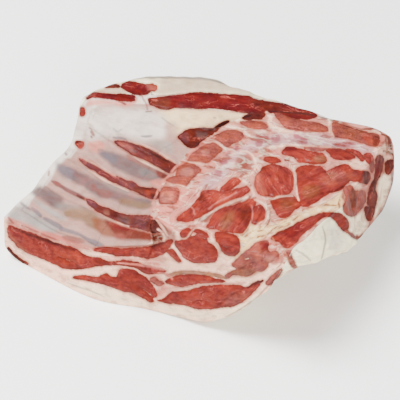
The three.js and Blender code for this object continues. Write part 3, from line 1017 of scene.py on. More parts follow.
# %% Soft patches of tone within the muscles
FLESH_PATCHES = {
    "first slot, pink": ("pale lean", 2, 0.85, [
        (118, 141), (126, 142), (133, 147), (134, 153), (126, 149), (119, 145),
    ]),
    "first slot, middle": ("slot lean", 2, 0.8, [
        (134, 148), (146, 150), (148, 158), (140, 156), (134, 153),
    ]),
    "second slot, start": ("mauve lean", 2, 0.9, [(78, 157), (88, 162), (95, 168), (92, 170), (84, 165)]),
    "second slot, mauve": ("mauve lean", 2, 0.85, [
        (120, 179), (130, 181), (135, 185), (134, 190), (126, 187), (119, 183),
    ]),
    "second slot, brown": ("brown lean", 1.5, 0.8, [(133, 187), (140, 188), (142, 194), (136, 192)]),
    "second slot, bright": ("bright lean", 2, 0.8, [(145, 189), (152, 190), (153, 196), (147, 196)]),
    "third slot, start": ("mauve lean", 1.5, 0.9, [
        (86, 199), (92, 200), (97, 206), (94, 208), (89, 205),
    ]),
    "third slot, pink": ("rosy membrane", 1.2, 0.9, [(103, 210), (108, 210), (109, 214), (104, 214)]),
    "third slot, dark": ("dark lean", 1.5, 0.9, [(110, 210), (117, 212.5), (117, 217), (111, 216)]),
    "third slot, grey": ("grey lean", 2.5, 0.8, [
        (118, 217), (126, 216), (130, 221), (126, 225), (120, 222),
    ]),
    "third slot, mauve": ("mauve lean", 2.5, 0.8, [
        (134, 216), (147, 216.5), (147, 223), (138, 226), (133, 222),
    ]),
    # painted shade where the third slot runs into the hollow by the spine
    "third slot, painted shade at the end": ("dark lean", 1.8, 0.9, [(146, 221), (151, 219), (151, 229), (146, 228)]),
    "inlet, purple": ("mauve lean", 1.5, 0.8, [
        (179, 135), (184, 132), (188, 134), (188, 142), (184, 142),
    ]),
    "inlet, olive": ("grey lean", 2, 0.8, [(196, 131), (206, 131), (206, 137), (198, 138)]),
    "fifth body, pale": ("pale marrow", 1.5, 0.9, [
        (182, 169), (188, 168), (193, 171), (191, 176), (184, 176),
    ]),
    "first body, pale": ("pale marrow", 2, 0.85, [
        (160, 193), (170, 193), (174, 197), (168, 202), (161, 201),
    ]),
    "upper neck, brown": ("brown lean", 3, 0.8, [
        (344, 127), (362, 131), (364, 138), (350, 137), (342, 132),
    ]),
    "upper neck, bright": ("bright lean", 2, 0.9, [(362, 134), (372, 136), (372, 143), (364, 141)]),
    "upper neck, dark": ("dark lean", 1.5, 0.9, [(372, 136), (378, 137), (377, 144), (373, 144)]),
    "over the canal, tan": ("tan lean", 1.5, 0.85, [(313, 157), (324, 156), (325, 161), (315, 162)]),
    "over the canal, crimson": ("crimson", 1.5, 0.85, [(283, 147), (294, 146), (296, 150), (286, 151)]),
    "tapered, dark end": ("dark lean", 1.5, 0.9, [
        (363, 171), (369, 171), (369, 178), (366, 184), (362, 181),
    ]),
    "tapered, orange": ("rust", 2.5, 0.8, [(304, 187), (318, 186), (318, 194), (308, 199), (302, 195)]),
    "tapered, tan mark": ("tan lean", 1.5, 0.8, [(329, 172), (336, 173), (336, 178), (330, 178)]),
    "mane, crimson": ("crimson", 2.5, 0.8, [
        (284, 229), (296, 223), (304, 224), (300, 231), (292, 238), (286, 238),
    ]),
    "mane, lobe": ("lean", 2, 0.8, [(336, 215), (344, 218), (348, 225), (344, 229), (338, 223)]),
    "marbled, crimson": ("crimson", 2, 0.85, [(259, 242), (267, 242), (269, 248), (262, 250)]),
    "marbled, light": ("pale lean", 2, 0.8, [(246, 252), (258, 248), (262, 256), (252, 262), (245, 260)]),
    "marbled, tan": ("tan lean", 2, 0.85, [(230, 271), (242, 268), (254, 268), (252, 274), (238, 276)]),
    "corner of the flap, light": ("pale lean", 1.5, 0.9, [(146, 84), (156, 85), (156, 90), (148, 90)]),
    "flap, dark start": ("dark lean", 1.5, 0.9, [(148, 97), (152, 97), (153, 104), (149, 104)]),
    "first at the end, pink": ("pale lean", 1.3, 0.9, [
        (344, 204), (348, 203), (350, 209), (347, 212), (344, 209),
    ]),
    "first at the end, brown": ("brown lean", 1.5, 0.8, [(350, 190), (354, 191), (355, 204), (351, 206)]),
    "second at the end, dark": ("dark lean", 1.3, 0.9, [(371, 180), (375, 178), (375, 190), (371, 192)]),
    "second at the end, crimson": ("crimson", 1.3, 0.8, [(375, 163), (380, 162), (379, 173), (375, 176)]),
    "marrow of the fifth rib": ("pale marrow", 1.5, 0.8, [
        (179, 172), (184, 171), (188, 173), (184, 175), (180, 175),
    ]),
    "marrow of the fourth rib": ("pale marrow", 1.5, 0.8, [
        (201, 151), (206, 150), (209, 152), (206, 155), (202, 155),
    ]),
    "brown top of the neck": ("brown lean", 1.5, 0.8, [
        (355, 127), (366, 127), (378, 129), (378, 133), (362, 131),
    ]),
    # painted shade where the slots run under the step of the spine
    "painted shade at the end of the upper slot": ("dark lean", 4, 0.9, [
        (158, 158), (170, 161), (176, 166), (172, 171), (162, 166),
    ]),
    "painted shade at the end of the second slot": ("dark lean", 2.5, 0.9, [
        (150, 193), (157, 192), (158, 197), (152, 198),
    ]),
    "painted shade at the end of the third slot": ("dark lean", 2, 1.0, [
        (146, 222), (152, 220), (158, 226), (158, 231), (150, 230),
    ]),
    "dark crown of the inlet": ("dark lean", 2, 0.9, [
        (200, 127), (214, 126), (228, 119), (226, 124), (212, 131), (200, 131),
    ]),
    "streaked, bright": ("bright lean", 3, 0.7, [
        (212, 192), (226, 193), (236, 197), (224, 202), (214, 199),
    ]),
    "streaked, darkest": ("dark lean", 2, 0.9, [
        (198, 195), (203, 194), (206, 199), (202, 202), (198, 200),
    ]),
    "triangle, tan": ("tan lean", 4, 0.8, [
        (220, 222), (226, 214), (233, 212), (232, 222), (226, 229), (220, 228),
    ]),
    "triangle, dark": ("dark lean", 4, 0.8, [(238, 208), (250, 206), (250, 218), (244, 224), (238, 216)]),
    "round, rim": ("pale lean", 4, 0.8, [
        (255, 172), (260, 172), (261, 184), (266, 194), (258, 192), (254, 184),
    ]),
    "round, shade": ("dark lean", 4, 0.7, [(258, 168), (270, 165), (272, 168), (262, 172)]),
    "below the round, orange": ("rust", 5, 0.7, [(280, 200), (292, 200), (292, 208), (282, 210)]),
    "tapered, light": ("pale lean", 5, 0.6, [(324, 176), (350, 172), (356, 178), (336, 184), (322, 186)]),
    "marbled, pale": ("pale marrow", 2, 0.9, [(264, 258), (271, 256), (277, 259), (270, 263)]),
    "long muscle, bright": ("bright lean", 5, 0.8, [
        (56, 248), (74, 250), (84, 258), (72, 266), (56, 260),
    ]),
    "long muscle, tail": ("dark lean", 3, 0.7, [(96, 259), (130, 261), (140, 266), (110, 265)]),
    "flap, crimson": ("crimson", 4, 0.7, [(166, 96), (190, 94), (192, 104), (168, 107)]),
    "flap, brown": ("brown lean", 3, 0.7, [(153, 99), (168, 98), (168, 107), (156, 106)]),
    "flap, dark": ("dark lean", 4, 0.8, [
        (250, 98), (284, 104), (312, 112), (312, 117), (284, 114), (256, 108),
    ]),
    "right end of the lower lens": ("pale lean", 4, 0.7, [
        (226, 296), (250, 290), (240, 302), (224, 305),
    ]),
    "below the lining, bright": ("bright lean", 3, 0.8, [
        (108, 222), (120, 224), (130, 228), (118, 230), (108, 228),
    ]),
    "below the lining, brown": ("brown lean", 4, 0.8, [(144, 230), (160, 236), (162, 243), (146, 242)]),
}

# %% Thin lines of another tone, with their half widths
LINES = {
    # tone, share, line
    "dark top of the first slot": ("shadow", 0.8, [
        (150, 152, 0.6), (156, 155, 1.2), (162, 158.5, 1.2), (168, 162, 0.8),
    ]),
    "lip under the first slot": ("white sinew", 0.8, [
        (133, 156, 0.6), (142, 160.5, 1.2), (150, 164.5, 1.2), (157, 168, 0.8), (163, 171, 0.6),
    ]),
    "lip over the first slot": ("white sinew", 0.7, [
        (128, 140.5, 0.6), (144, 145, 1), (152, 148.5, 1), (160, 153, 1), (168, 158, 1),
        (174, 161.5, 0.8),
    ]),
    "mauve before the first slot": ("lilac", 0.8, [(113, 137, 1), (119, 137.5, 1.4), (125, 138.5, 1)]),
    "lip over the second slot": ("white sinew", 0.6, [
        (86, 160, 0.6), (93, 162.5, 0.9), (101, 167.5, 0.9), (108, 171.5, 0.9), (115, 175, 0.8),
    ]),
    "lip under the second slot": ("white sinew", 0.7, [
        (88, 170, 0.6), (95, 174, 1), (104, 179.5, 1), (112, 183.5, 0.9), (120, 187, 0.9),
        (128, 190, 0.8),
    ]),
    # painted shade at the end of the second slot
    "painted shade at the end of the second slot": ("shadow", 0.9, [
        (153, 196.5, 1.6), (156.5, 194.5, 1.8), (158, 191.5, 1),
    ]),
    "dark top of the second slot": ("shadow", 0.7, [
        (138, 187.5, 0.8), (144, 188.5, 1.2), (149, 189, 0.6),
    ]),
    "start of the third slot": ("mauve lean", 0.85, [
        (51, 180.5, 0.8), (56, 183, 2.2), (61, 186, 1.8), (66, 189, 2), (72, 192, 2.2), (78, 195, 2.2),
        (85, 199, 1.8),
    ]),
    "blush of the third slot": ("rose", 0.7, [(54, 181.5, 1), (58, 183.5, 1.6), (60, 185, 1)]),
    "dark of the third slot": ("shadow", 0.8, [(77, 195, 1), (81, 197.5, 1.4), (85, 199.5, 0.8)]),
    "lip under the third slot": ("white sinew", 0.8, [
        (104, 216.5, 0.5), (112, 220, 0.8), (120, 223.5, 0.8), (128, 226, 0.7),
    ]),
    "fourth slot, first": ("lilac", 0.7, [(21, 203, 1.4), (26, 207, 1.2), (30, 209, 0.8)]),
    "fourth slot, second": ("lilac", 0.75, [(32, 208, 1.6), (36, 211.5, 2.2), (40, 215, 1.8)]),
    "fourth slot, spot": ("lilac", 0.7, [(39, 215.5, 1), (41, 216.5, 0.8)]),
    "fourth slot, third": ("lilac", 0.8, [
        (44, 218, 1.8), (50, 221, 2.2), (56, 224.5, 2.6), (60, 227, 2.4),
    ]),
    "fourth slot, fourth": ("lilac", 0.8, [
        (61, 228.5, 2.4), (68, 230.5, 2), (75, 232.5, 1.6), (82, 236, 1.6), (89, 240, 2.2),
        (95, 242.5, 2.8), (102, 245.5, 2),
    ]),
    "strip, first dash": ("rose", 0.8, [(8, 217, 1), (10, 219.5, 1.2), (13, 222.5, 0.8)]),
    "strip, second dash": ("rose", 0.9, [(21.5, 225, 0.9), (24, 226, 0.6)]),
    "strip, third dash": ("rose", 0.8, [(25, 226.5, 0.8), (31, 229, 1.1), (38, 231.8, 0.7)]),
    "strip, fourth dash": ("rose", 0.8, [(41, 233, 0.8), (49, 236.5, 0.9), (55, 238.5, 0.7)]),
    "rim spot": ("grey line", 0.8, [(65, 153, 1.2), (66, 154, 1.2)]),
    "rim blush": ("rose", 0.7, [(48.5, 171, 1), (48, 175, 1)]),
    "dark top of the knob": ("shadow", 0.9, [(76.5, 142, 0.9), (79.5, 141.5, 1)]),
    "edge past the gap": ("white sinew", 0.9, [
        (158, 228, 1), (161, 231.5, 0.9), (164, 236, 0.9), (163.5, 240, 1.2),
    ]),
    "pale past the gap": ("white sinew", 0.8, [
        (156, 219.5, 0.6), (160, 224, 0.9), (164, 230, 1.1), (167, 235, 0.8),
    ]),
    "brown past the gap": ("brown lean", 0.7, [(159, 221, 0.5), (164, 225.5, 0.8), (168, 231, 0.6)]),
    "shade over the near muscle": ("dark lean", 0.8, [
        (100, 246.5, 0.6), (120, 246.5, 1.1), (140, 246, 1.2), (156, 244, 1.2), (166, 241, 0.8),
    ]),
    "dark top of the long muscle": ("shadow", 0.7, [
        (10, 227, 0.8), (22, 231, 1), (40, 238, 1.3), (60, 244.5, 1), (74, 249.5, 0.8),
    ]),
    "orange in the long muscle": ("rust", 0.7, [
        (10, 233, 0.8), (15, 240, 1.4), (22, 247, 1.2), (30, 251, 0.6),
    ]),
    "strand, first": ("pink fat", 0.7, [
        (100, 255.5, 0.6), (120, 257, 0.8), (140, 259, 0.8), (158, 260, 0.6),
    ]),
    "strand, second": ("pink fat", 0.8, [
        (118, 262.5, 0.8), (135, 263.5, 1), (150, 266, 1.2), (163, 269, 1),
    ]),
    "strand, third": ("pink fat", 0.7, [(140, 262, 0.8), (152, 263, 1.2), (165, 265, 1)]),
    "strand, fourth": ("pink fat", 0.7, [(158, 272, 0.8), (166, 274, 1.4), (172, 278, 0.8)]),
    "outline of the fat": ("shadow", 0.6, [
        (225, 316.5, 0.5), (236, 311, 0.7), (246, 304.5, 0.8), (256, 297.5, 0.8), (265, 288, 0.9),
        (272, 281, 0.9), (280, 273, 0.8),
    ]),
    "tan strand": ("tan fat", 0.8, [(272, 238, 0.6), (279, 250, 0.9), (281, 262, 0.9), (276, 268, 0.6)]),
    "second tan strand": ("tan fat", 0.7, [(281, 245, 0.5), (285, 253, 0.8), (289, 262, 0.6)]),
    # painted shade in the folds of the fat wall
    "painted shade in the crease of the wall": ("crease", 0.7, [(322, 226, 0.6), (325, 240, 1), (321, 258, 0.8)]),
    "painted shade in the second crease": ("crease", 0.6, [(296, 250, 0.8), (303, 254, 1.2), (310, 260, 0.8)]),
    "shade over the mane": ("dark lean", 0.8, [
        (273, 236, 0.8), (280, 231.5, 1), (290, 226.5, 0.8), (305, 218.5, 0.8), (318, 213.5, 0.7),
    ]),
    "dark line of the flap": ("shadow", 0.85, [
        (268, 110.5, 0.6), (280, 111.5, 0.9), (295, 112.5, 1), (306, 113.5, 1), (312, 115, 0.7),
    ]),
    "crimson of the flap": ("crimson", 0.7, [(284, 106, 1), (292, 108, 1.6), (300, 110, 1)]),
    "black tip": ("black", 0.9, [(241, 117.5, 0.6), (245, 116.5, 1), (250, 115.5, 0.8)]),
    "dark tail of the inlet": ("shadow", 0.9, [
        (209, 130, 0.8), (214, 128, 1.3), (219, 124.5, 1.8), (224, 122.3, 1.8), (228, 121.3, 0.8),
    ]),
    "dark foot of the inlet": ("shadow", 0.8, [(193, 146, 0.6), (196, 145, 1), (198, 142.5, 0.8)]),
    "speck of the far wall": ("crease", 0.7, [(213.5, 117, 1), (215, 117.5, 0.8)]),
    # painted shade in a fold of the far wall
    "painted shade in a wrinkle": ("crease", 0.6, [(161, 117, 0.5), (165, 120, 0.8), (170, 123.5, 0.8), (174, 125.5, 0.5)]),
    "grey mark": ("grey line", 0.75, [(141, 135.5, 0.8), (146, 136, 1.4), (151, 135.5, 0.8)]),
    "second grey mark": ("grey line", 0.5, [(113, 128, 0.8), (117, 131, 1), (121, 129, 0.8)]),
    "brown mark": ("brown lean", 0.8, [(145.5, 111.3, 0.7), (151, 110.8, 0.8)]),
    "blood under the corner": ("rose", 0.8, [
        (141, 94, 0.8), (143, 99, 1), (146, 104, 1), (147, 109, 0.8),
    ]),
    "white under the corner": ("white sinew", 0.8, [(136, 98, 1.2), (139, 102, 1.4)]),
    "dark bits of the corner": ("shadow", 0.9, [(147, 92, 0.8), (150, 91.5, 1), (152, 94, 0.8)]),
    "drop under the strip": ("crimson", 0.85, [(118, 100.8, 0.8), (122, 102, 1.2), (124.5, 103.5, 1.2)]),
    "pink spot": ("rose", 0.8, [(91, 131.5, 1.6), (93, 134.5, 1.6)]),
    "heart of the pink spot": ("crimson", 0.8, [(90.5, 136, 1), (91.5, 137, 0.8)]),
    "faint spot": ("rose", 0.7, [(89, 127.5, 0.9), (91, 129, 0.8)]),
    "grey spot": ("grey line", 0.7, [(98, 149.5, 1), (102, 149.5, 1.2)]),
    "grey crest of the fat": ("grey line", 0.8, [
        (130, 78.5, 0.8), (145, 77, 1), (175, 77, 1.4), (205, 78.5, 1.2), (225, 83, 1),
    ]),
    "dark crest of the neck": ("shadow", 0.9, [
        (318, 116, 0.5), (328, 119, 0.9), (336, 121, 1), (345, 124.5, 1.2), (353, 127.5, 1.2),
        (360, 128.8, 1), (368, 128.5, 1), (375, 127.8, 0.9), (379, 130, 0.7), (381, 133, 0.5),
    ]),
    "pale sliver": ("white sinew", 0.8, [(368, 131.3, 0.6), (374, 131, 1), (380, 133, 0.7)]),
    "maroon ring": ("shadow", 0.9, [
        (381, 133.5, 0.8), (386, 135.5, 1.1), (388.5, 139, 1.2), (390, 144, 1.1), (390.5, 149, 0.8),
    ]),
    "inside of the ring": ("rust", 0.8, [
        (385, 136, 0.9), (385.5, 141, 1), (386, 147, 0.9), (387, 151, 0.7),
    ]),
    "heart of the ring": ("crimson", 0.8, [(388, 141, 0.9), (388, 147, 1.1)]),
    "orange under the ring": ("rust", 0.9, [(383, 150.5, 1), (387, 151.5, 1.3), (390, 153, 1)]),
    "second ring": ("dark lean", 0.9, [
        (388, 151.5, 0.8), (392, 153.5, 1), (394, 157, 1.1), (393, 161, 1.2),
    ]),
    "grey edge of the pale flap": ("grey line", 0.8, [
        (392, 172, 1), (392, 180, 1.4), (390.5, 190, 1.4), (387, 199, 1.2), (382, 209, 1),
        (377, 217, 0.9),
    ]),
    "strand of the pale flap": ("white sinew", 0.6, [(381, 188, 0.8), (380, 196, 1), (377, 206, 0.8)]),
    "side of the lobe": ("dark lean", 0.7, [
        (367, 231, 0.7), (368, 226, 0.7), (371, 219, 0.6), (374, 213, 0.6),
    ]),
    "shade under the tapered": ("dark lean", 0.8, [(326, 192, 0.6), (335, 190, 0.9), (342, 186, 0.8)]),
    "vessel": ("crimson", 0.9, [(285, 159.5, 1.6), (288, 159.5, 1.4)]),
    "strand before the canal": ("pink fat", 0.9, [(264, 149, 0.6), (272, 151, 0.9), (280, 153, 1)]),
    "white fleck": ("white sinew", 0.8, [(258, 152, 0.8), (264, 153, 1.4), (272, 154.5, 1)]),
    "line of the breast": ("crease", 0.6, [
        (66, 282, 0.5), (80, 287, 0.9), (92, 291, 0.9), (103, 296, 0.5),
    ]),
    "front edge of the bodies": ("pink fat", 0.8, [
        (214, 137, 0.7), (205, 142.5, 0.9), (196, 148, 1), (189, 154, 1), (184, 161, 1), (176, 166, 1.1),
        (170, 173, 1.1),
        (164, 180, 1.1), (159, 187, 1.1), (156, 194, 1), (152, 203, 0.8),
    ]),
    "back edge of the bodies": ("pink fat", 0.75, [
        (245, 137, 0.8), (238, 143, 1), (229, 149, 1.1), (221, 156, 1.1), (212, 163, 1.1),
        (205, 169, 1.1),
        (198, 178, 1.2), (190, 185, 1.2), (182, 190, 1), (179, 199, 1), (176, 206, 0.8),
    ]),
    "gap over the second body": ("white sinew", 0.9, [
        (162, 183.5, 0.8), (170, 184.5, 1.2), (180, 186, 1.2), (188, 187.5, 0.8),
    ]),
    "gap over the third body": ("white sinew", 0.8, [
        (188, 161.5, 0.7), (198, 162.8, 0.9), (207, 164.5, 0.8),
    ]),
    "gap over the fourth body": ("white sinew", 0.8, [(212, 139.5, 0.8), (219, 143.5, 1), (225, 148, 1)]),
    "gap over the fifth body": ("white sinew", 0.85, [
        (222, 126.5, 0.8), (232, 127, 1), (243, 130.5, 1.2), (249, 135, 1),
    ]),
    "gap by the lower neck": ("white sinew", 0.9, [
        (266, 112, 1.2), (270, 117, 1.8), (269, 123, 2), (274, 127, 2.2), (282, 130, 1.8), (292, 131, 1),
    ]),
    "gap by the upper neck": ("white sinew", 0.9, [
        (328, 118, 0.8), (329.5, 124, 1.3), (330, 131, 1.3), (333, 137, 0.9),
    ]),
    "lip of the canal": ("white sinew", 0.8, [
        (262, 148, 0.8), (276, 146, 1.1), (292, 144.7, 0.9), (312, 145.5, 0.8), (330, 146.5, 0.7),
    ]),
    "rim of the arch": ("white sinew", 0.85, [
        (240, 151, 0.8), (248, 151.5, 1), (254, 158, 1.1), (255, 167, 1.1), (250, 174, 1),
        (243, 176, 0.8),
    ]),
    "sheet under the arch": ("white sinew", 0.8, [
        (226, 176, 0.7), (236, 175.5, 1), (244, 181, 1.2), (251, 188, 1.2), (254, 196, 0.9),
    ]),
    "sheet over the triangle": ("white sinew", 0.85, [
        (203, 216, 0.7), (212, 211, 0.9), (222, 205.5, 1), (234, 200.5, 1.1), (247, 196.5, 1),
    ]),
    "light in the streaked": ("pink sinew", 0.75, [
        (208, 209, 0.6), (216, 203, 0.9), (226, 198, 1), (236, 192.5, 0.8),
    ]),
    "second light in the streaked": ("pink sinew", 0.75, [
        (189, 205, 0.5), (193, 209, 0.7), (194, 214, 0.7),
    ]),
    "sheet round the triangle": ("white sinew", 0.85, [
        (254, 199, 0.8), (262, 203, 1.2), (267, 211, 1.3), (265, 220, 1.3), (256, 225, 1),
    ]),
    "sheet by the round": ("white sinew", 0.9, [
        (291, 166, 0.8), (294.5, 174, 1.1), (295, 184, 1.2), (296, 193, 1.2), (298, 200, 0.9),
    ]),
    "sheet under the round": ("white sinew", 0.85, [
        (262, 197, 0.9), (270, 198.5, 0.9), (280, 196.3, 0.8), (292, 195.5, 0.8),
    ]),
    "sheet past the triangle": ("pink sinew", 0.8, [(251.5, 206, 0.5), (252, 214, 0.6), (251, 221, 0.5)]),
    "sheet by the eye": ("white sinew", 0.9, [
        (208, 232, 0.9), (212, 239, 1.2), (218, 247, 1.4), (220, 256, 1.6),
    ]),
    "sheet over the eye": ("white sinew", 0.8, [
        (178, 238, 0.6), (186, 237.5, 0.5), (194, 228, 0.6), (204, 228.5, 0.8), (211, 233, 0.8),
    ]),
    "pale oval": ("white sinew", 0.8, [(353, 184, 1.8), (356, 184.5, 1.8)]),
}

# %% [markdown]
# ## Paint and relief
# Every piece now gets the same five values at each of its points: how far inside flesh it lies, the tone of
# the flesh there, the tone of what surrounds it, how spongy it is, and where it lies along the grain. A cut
# muscle relaxes and swells a little over its seams, so the depth also lifts the surface.

# %% Paint one grid of points
# stains where the picture hides the fat: tone, share, length in millimetres and seed
THIN_FAT = [
    ("lean under fat", 0.5, 150, 33),
    ("pink fell", 0.4, 85, 34),
    ("faint pink", 0.4, 42, 37),
]
MUSCLE_GROUPS = [NECK_MUSCLES, BACK_MUSCLES, RIB_CUT_MUSCLES, CHEST_MUSCLES]
FIBRE_LIE = {
    # degrees clockwise from the picture's x axis
    "rest": 8,
    "streaked": -38,
    "between the spines": -42,
    "triangle": -46,
    "beside the triangle": -60,
    "round": 62,
    "below the round": -20,
    "tapered": -24,
    "over the canal": 10,
    "behind it": 8,
    "under the mane": -28,
    "first at the end": 78,
    "second at the end": 100,
    "third at the end": 105,
    "fourth at the end": 100,
    "fifth at the end": 100,
    "slip down the end": 90,
    "first slot": 27,
    "second slot": 27,
    "third slot": 18,
    "under the ribs": 22,
    "breast": 22,
    "marbled": -35,
    "lower lens": -8,
}


def flat_tone(grid, tone):
    """One tone for a whole grid."""
    return np.broadcast_to(pigment(tone), grid.shape).copy()


def grid_normals(grid):
    """The direction square to the surface: the cross product of the steps along and across the grid."""
    along, across = np.gradient(grid, axis=0), np.gradient(grid, axis=1)
    normal = np.cross(along, across)
    return normal / np.maximum(np.linalg.norm(normal, axis=-1, keepdims=True), 1e-9)


def along_and_across(places, degrees):
    """Millimetres along and across a direction in the picture, which is turned clockwise from its x axis."""
    angle = np.radians(degrees)
    x, y = np.moveaxis(places, -1, 0) * PIXEL
    return np.stack([x * np.cos(angle) + y * np.sin(angle), y * np.cos(angle) - x * np.sin(angle)], axis=-1)


def paint(grid, ground, seen):
    """The five values for a grid. `ground` is a tone for each point, and `seen` is 1 where the picture shows
    the surface and 0 where it faces away."""
    places = in_picture(grid)
    grain = along_and_across(places, FIBRE_LIE["rest"])
    depth = np.full(grid.shape[:2], -REACH)
    flesh = flat_tone(grid, "lean")
    spongy = np.zeros(grid.shape[:2])
    shapes = [("rest", *shape, True, 1.0) for shape in VERTEBRAE.values()]
    shapes += [(name, *shape, True, 0.0) for group in MUSCLE_GROUPS for name, shape in group.items()]
    shapes += [("rest", *shape, False, 0.0) for shape in STREAKS.values()]
    for name, tone, points, closed, sponge in shapes:
        found = depth_in(places, points, closed)
        share = smooth(-0.8, 0.8, found - depth)
        flesh = toward(flesh, tone, share)
        spongy += (sponge - spongy) * share
        lie = along_and_across(places, FIBRE_LIE.get(name, FIBRE_LIE["rest"]))
        grain += (lie - grain) * smooth(-0.2, 0.2, found - depth)[..., None]
        depth = np.maximum(depth, found)
    for seam in SEAMS.values():
        depth = np.minimum(depth, -depth_in(places, seam, False))
    for tone, share, length, seed in THIN_FAT:
        ground = toward(ground, tone, share * smooth(0.1, 1.1, waves(grid, length, seed)) * (1 - seen))
    for patches in (GROUND_PATCHES, CHEST_PATCHES, END_PATCHES):
        for tone, softness, share, outline in patches.values():
            near = smooth(-softness, softness, depth_in(places, outline, True))
            ground = toward(ground, tone, share * near * seen)
    for tone, softness, share, outline in FLESH_PATCHES.values():
        flesh = toward(flesh, tone, share * smooth(-softness, softness, depth_in(places, outline, True)))
    for tone, share, line in LINES.values():
        near = share * smooth(-0.7, 0.7, depth_in(places, line, False)) * seen
        ground, flesh = toward(ground, tone, near), toward(flesh, tone, near)
    depth = np.where(seen > 0.5, depth, -REACH) * PIXEL
    grain = np.concatenate([grain, grid[..., 2:] * 0.3], axis=-1)
    return {"depth": depth, "flesh": flesh, "ground": ground, "spongy": spongy, "grain": grain}


def border_fade(shape, steps):
    """0 on the edge of a grid and 1 a few steps inside it, so that neighbours still share their edges."""
    rows, columns = (np.minimum(np.arange(count), np.arange(count)[::-1]) for count in shape)
    return smooth(0, steps, np.minimum(rows[:, None], columns[None, :]))


def seen_from_camera(grid, outward):
    """1 where the surface faces the camera."""
    toward_eye = eye - grid
    toward_eye /= np.linalg.norm(toward_eye, axis=-1, keepdims=True)
    return smooth(0.02, 0.12, (outward * toward_eye).sum(-1))


# %% [markdown]
# ## Thin closed plates
# The skin of the piece is made of plates, because each closed piece has a limit on its triangles. A plate
# has its grid outside, the same grid sunk towards the middle of the body inside, and four walls between
# them. Plates that meet share their edge points, so no gap shows.

# %% Build one closed piece
THICKNESS = 4
CORE_STATIONS = (1.5, 7.5)
HIGH_CORE, LOW_CORE = 0.3, -0.6


def core_at(stations, height):
    """A line along the middle of the body, as a share of the way up from the keel to the gutter."""
    low, high = rail_at("keel", stations), rail_at("gutter", stations)
    return low + height * (high - low) + FOOTPRINT_SHIFT


def closed_piece(name, grid, inner, values):
    """A plate: one grid outside, another inside, and four walls between them."""
    rows, columns = grid.shape[:2]
    points = np.concatenate([grid.reshape(-1, 3), inner.reshape(-1, 3)])
    number = np.arange(rows * columns).reshape(rows, columns)

    def quads(a, b, c, d):
        return np.stack([a.ravel(), b.ravel(), c.ravel(), d.ravel()], axis=1)

    outside = quads(number[:-1, :-1], number[1:, :-1], number[1:, 1:], number[:-1, 1:])
    border = np.concatenate([number[:-1, 0], number[-1, :-1], number[:0:-1, -1], number[0, :0:-1]])
    following = np.roll(border, -1)
    inside = outside[:, ::-1] + rows * columns
    walls = quads(following, border, border + rows * columns, following + rows * columns)
    faces = np.concatenate([outside, inside, walls])
    corners = points[faces]
    volume = np.einsum("ij,ij->", corners[:, 0], np.cross(corners[:, 1], corners[:, 2]))
    volume += np.einsum("ij,ij->", corners[:, 0], np.cross(corners[:, 2], corners[:, 3]))
    if volume < 0:
        faces = faces[:, ::-1]
    mesh = bpy.data.meshes.new(name)
    mesh.from_pydata(points * MM, [], faces, shade_flat=False)
    flat = np.arange(len(faces)) >= len(outside)
    mesh.attributes.new("sharp_face", "BOOLEAN", "FACE").data.foreach_set("value", flat)
    for key, value in values.items():
        both = np.concatenate([value.reshape(rows * columns, -1)] * 2)
        if both.shape[1] == 1:
            mesh.attributes.new(key, "FLOAT", "POINT").data.foreach_set("value", both.ravel())
        elif key == "grain":
            mesh.attributes.new(key, "FLOAT_VECTOR", "POINT").data.foreach_set("vector", (both * MM).ravel())
        else:
            colours = np.concatenate([both, np.ones((len(both), 1))], axis=1)
            mesh.attributes.new(key, "FLOAT_COLOR", "POINT").data.foreach_set("color", colours.ravel())
    merged = bmesh.new()
    merged.from_mesh(mesh)
    bmesh.ops.remove_doubles(merged, verts=merged.verts, dist=1e-7)
    merged.to_mesh(mesh)
    merged.free()
    piece = bpy.data.objects.new(name, mesh)
    bpy.context.scene.collection.objects.link(piece)
    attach(piece, "root")
    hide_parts("lamb_shoulder")
    print(name, len(mesh.vertices), "points", round(abs(volume) / 6e6, 3), "litres")
    return piece


# %% The pieces
SWELL_REACH = 2.5
FINE_HEIGHT, FINE_LENGTH, FINE_SEED = 0.25, 9, 21
FADE_STEPS = 6


def finish_plates(name, grid, ground, core, swell, plates):
    """Paints and lifts a whole grid, then cuts it along its columns, so that no plate is too heavy."""
    outward_sign = np.sign(((grid - core) * grid_normals(grid)).sum())
    outward = grid_normals(grid) * outward_sign
    seen = seen_from_camera(grid, outward) if name.endswith("fat") else np.ones(grid.shape[:2])
    values = paint(grid, ground, seen)
    height = swell * (1 - np.exp(-np.maximum(values["depth"], 0) / SWELL_REACH))
    height += FINE_HEIGHT * waves(grid, FINE_LENGTH, FINE_SEED) * smooth(0, 10, grid[..., 2])
    fade = border_fade(grid.shape[:2], FADE_STEPS)
    lifted = grid + outward * (height * fade)[..., None]
    inner = core - lifted
    inner = lifted + inner * (THICKNESS / np.linalg.norm(inner, axis=-1, keepdims=True))
    cuts = np.linspace(0, grid.shape[1] - 1, plates + 1).astype(int)
    made = []
    for first, last in zip(cuts[:-1], cuts[1:]):
        part = np.s_[:, first : last + 1]
        painted = {key: value[part] for key, value in values.items()}
        made.append(closed_piece(f"{name}_{len(made) + 1}", lifted[part], inner[part], painted))
    return made


skin_core = core_at(np.clip(stations, *CORE_STATIONS), HIGH_CORE)[:, None]
top_core = core_at(np.clip(stations, *CORE_STATIONS), LOW_CORE)[:, None]
# the skin's core sinks towards the rim, so that no inner wall pokes out there
wall_steps = sum(SKIN_STEPS[5:])
to_rim = smooth(0, wall_steps, np.arange(1 - skin.shape[1], 1) + wall_steps)[None, :, None]
skin_core = skin_core + to_rim * (top_core - skin_core)
rib_core = core_at(np.array([CORE_STATIONS[0]]), HIGH_CORE)[None]
neck_core = core_at(np.array([CORE_STATIONS[1]]), HIGH_CORE)[None]


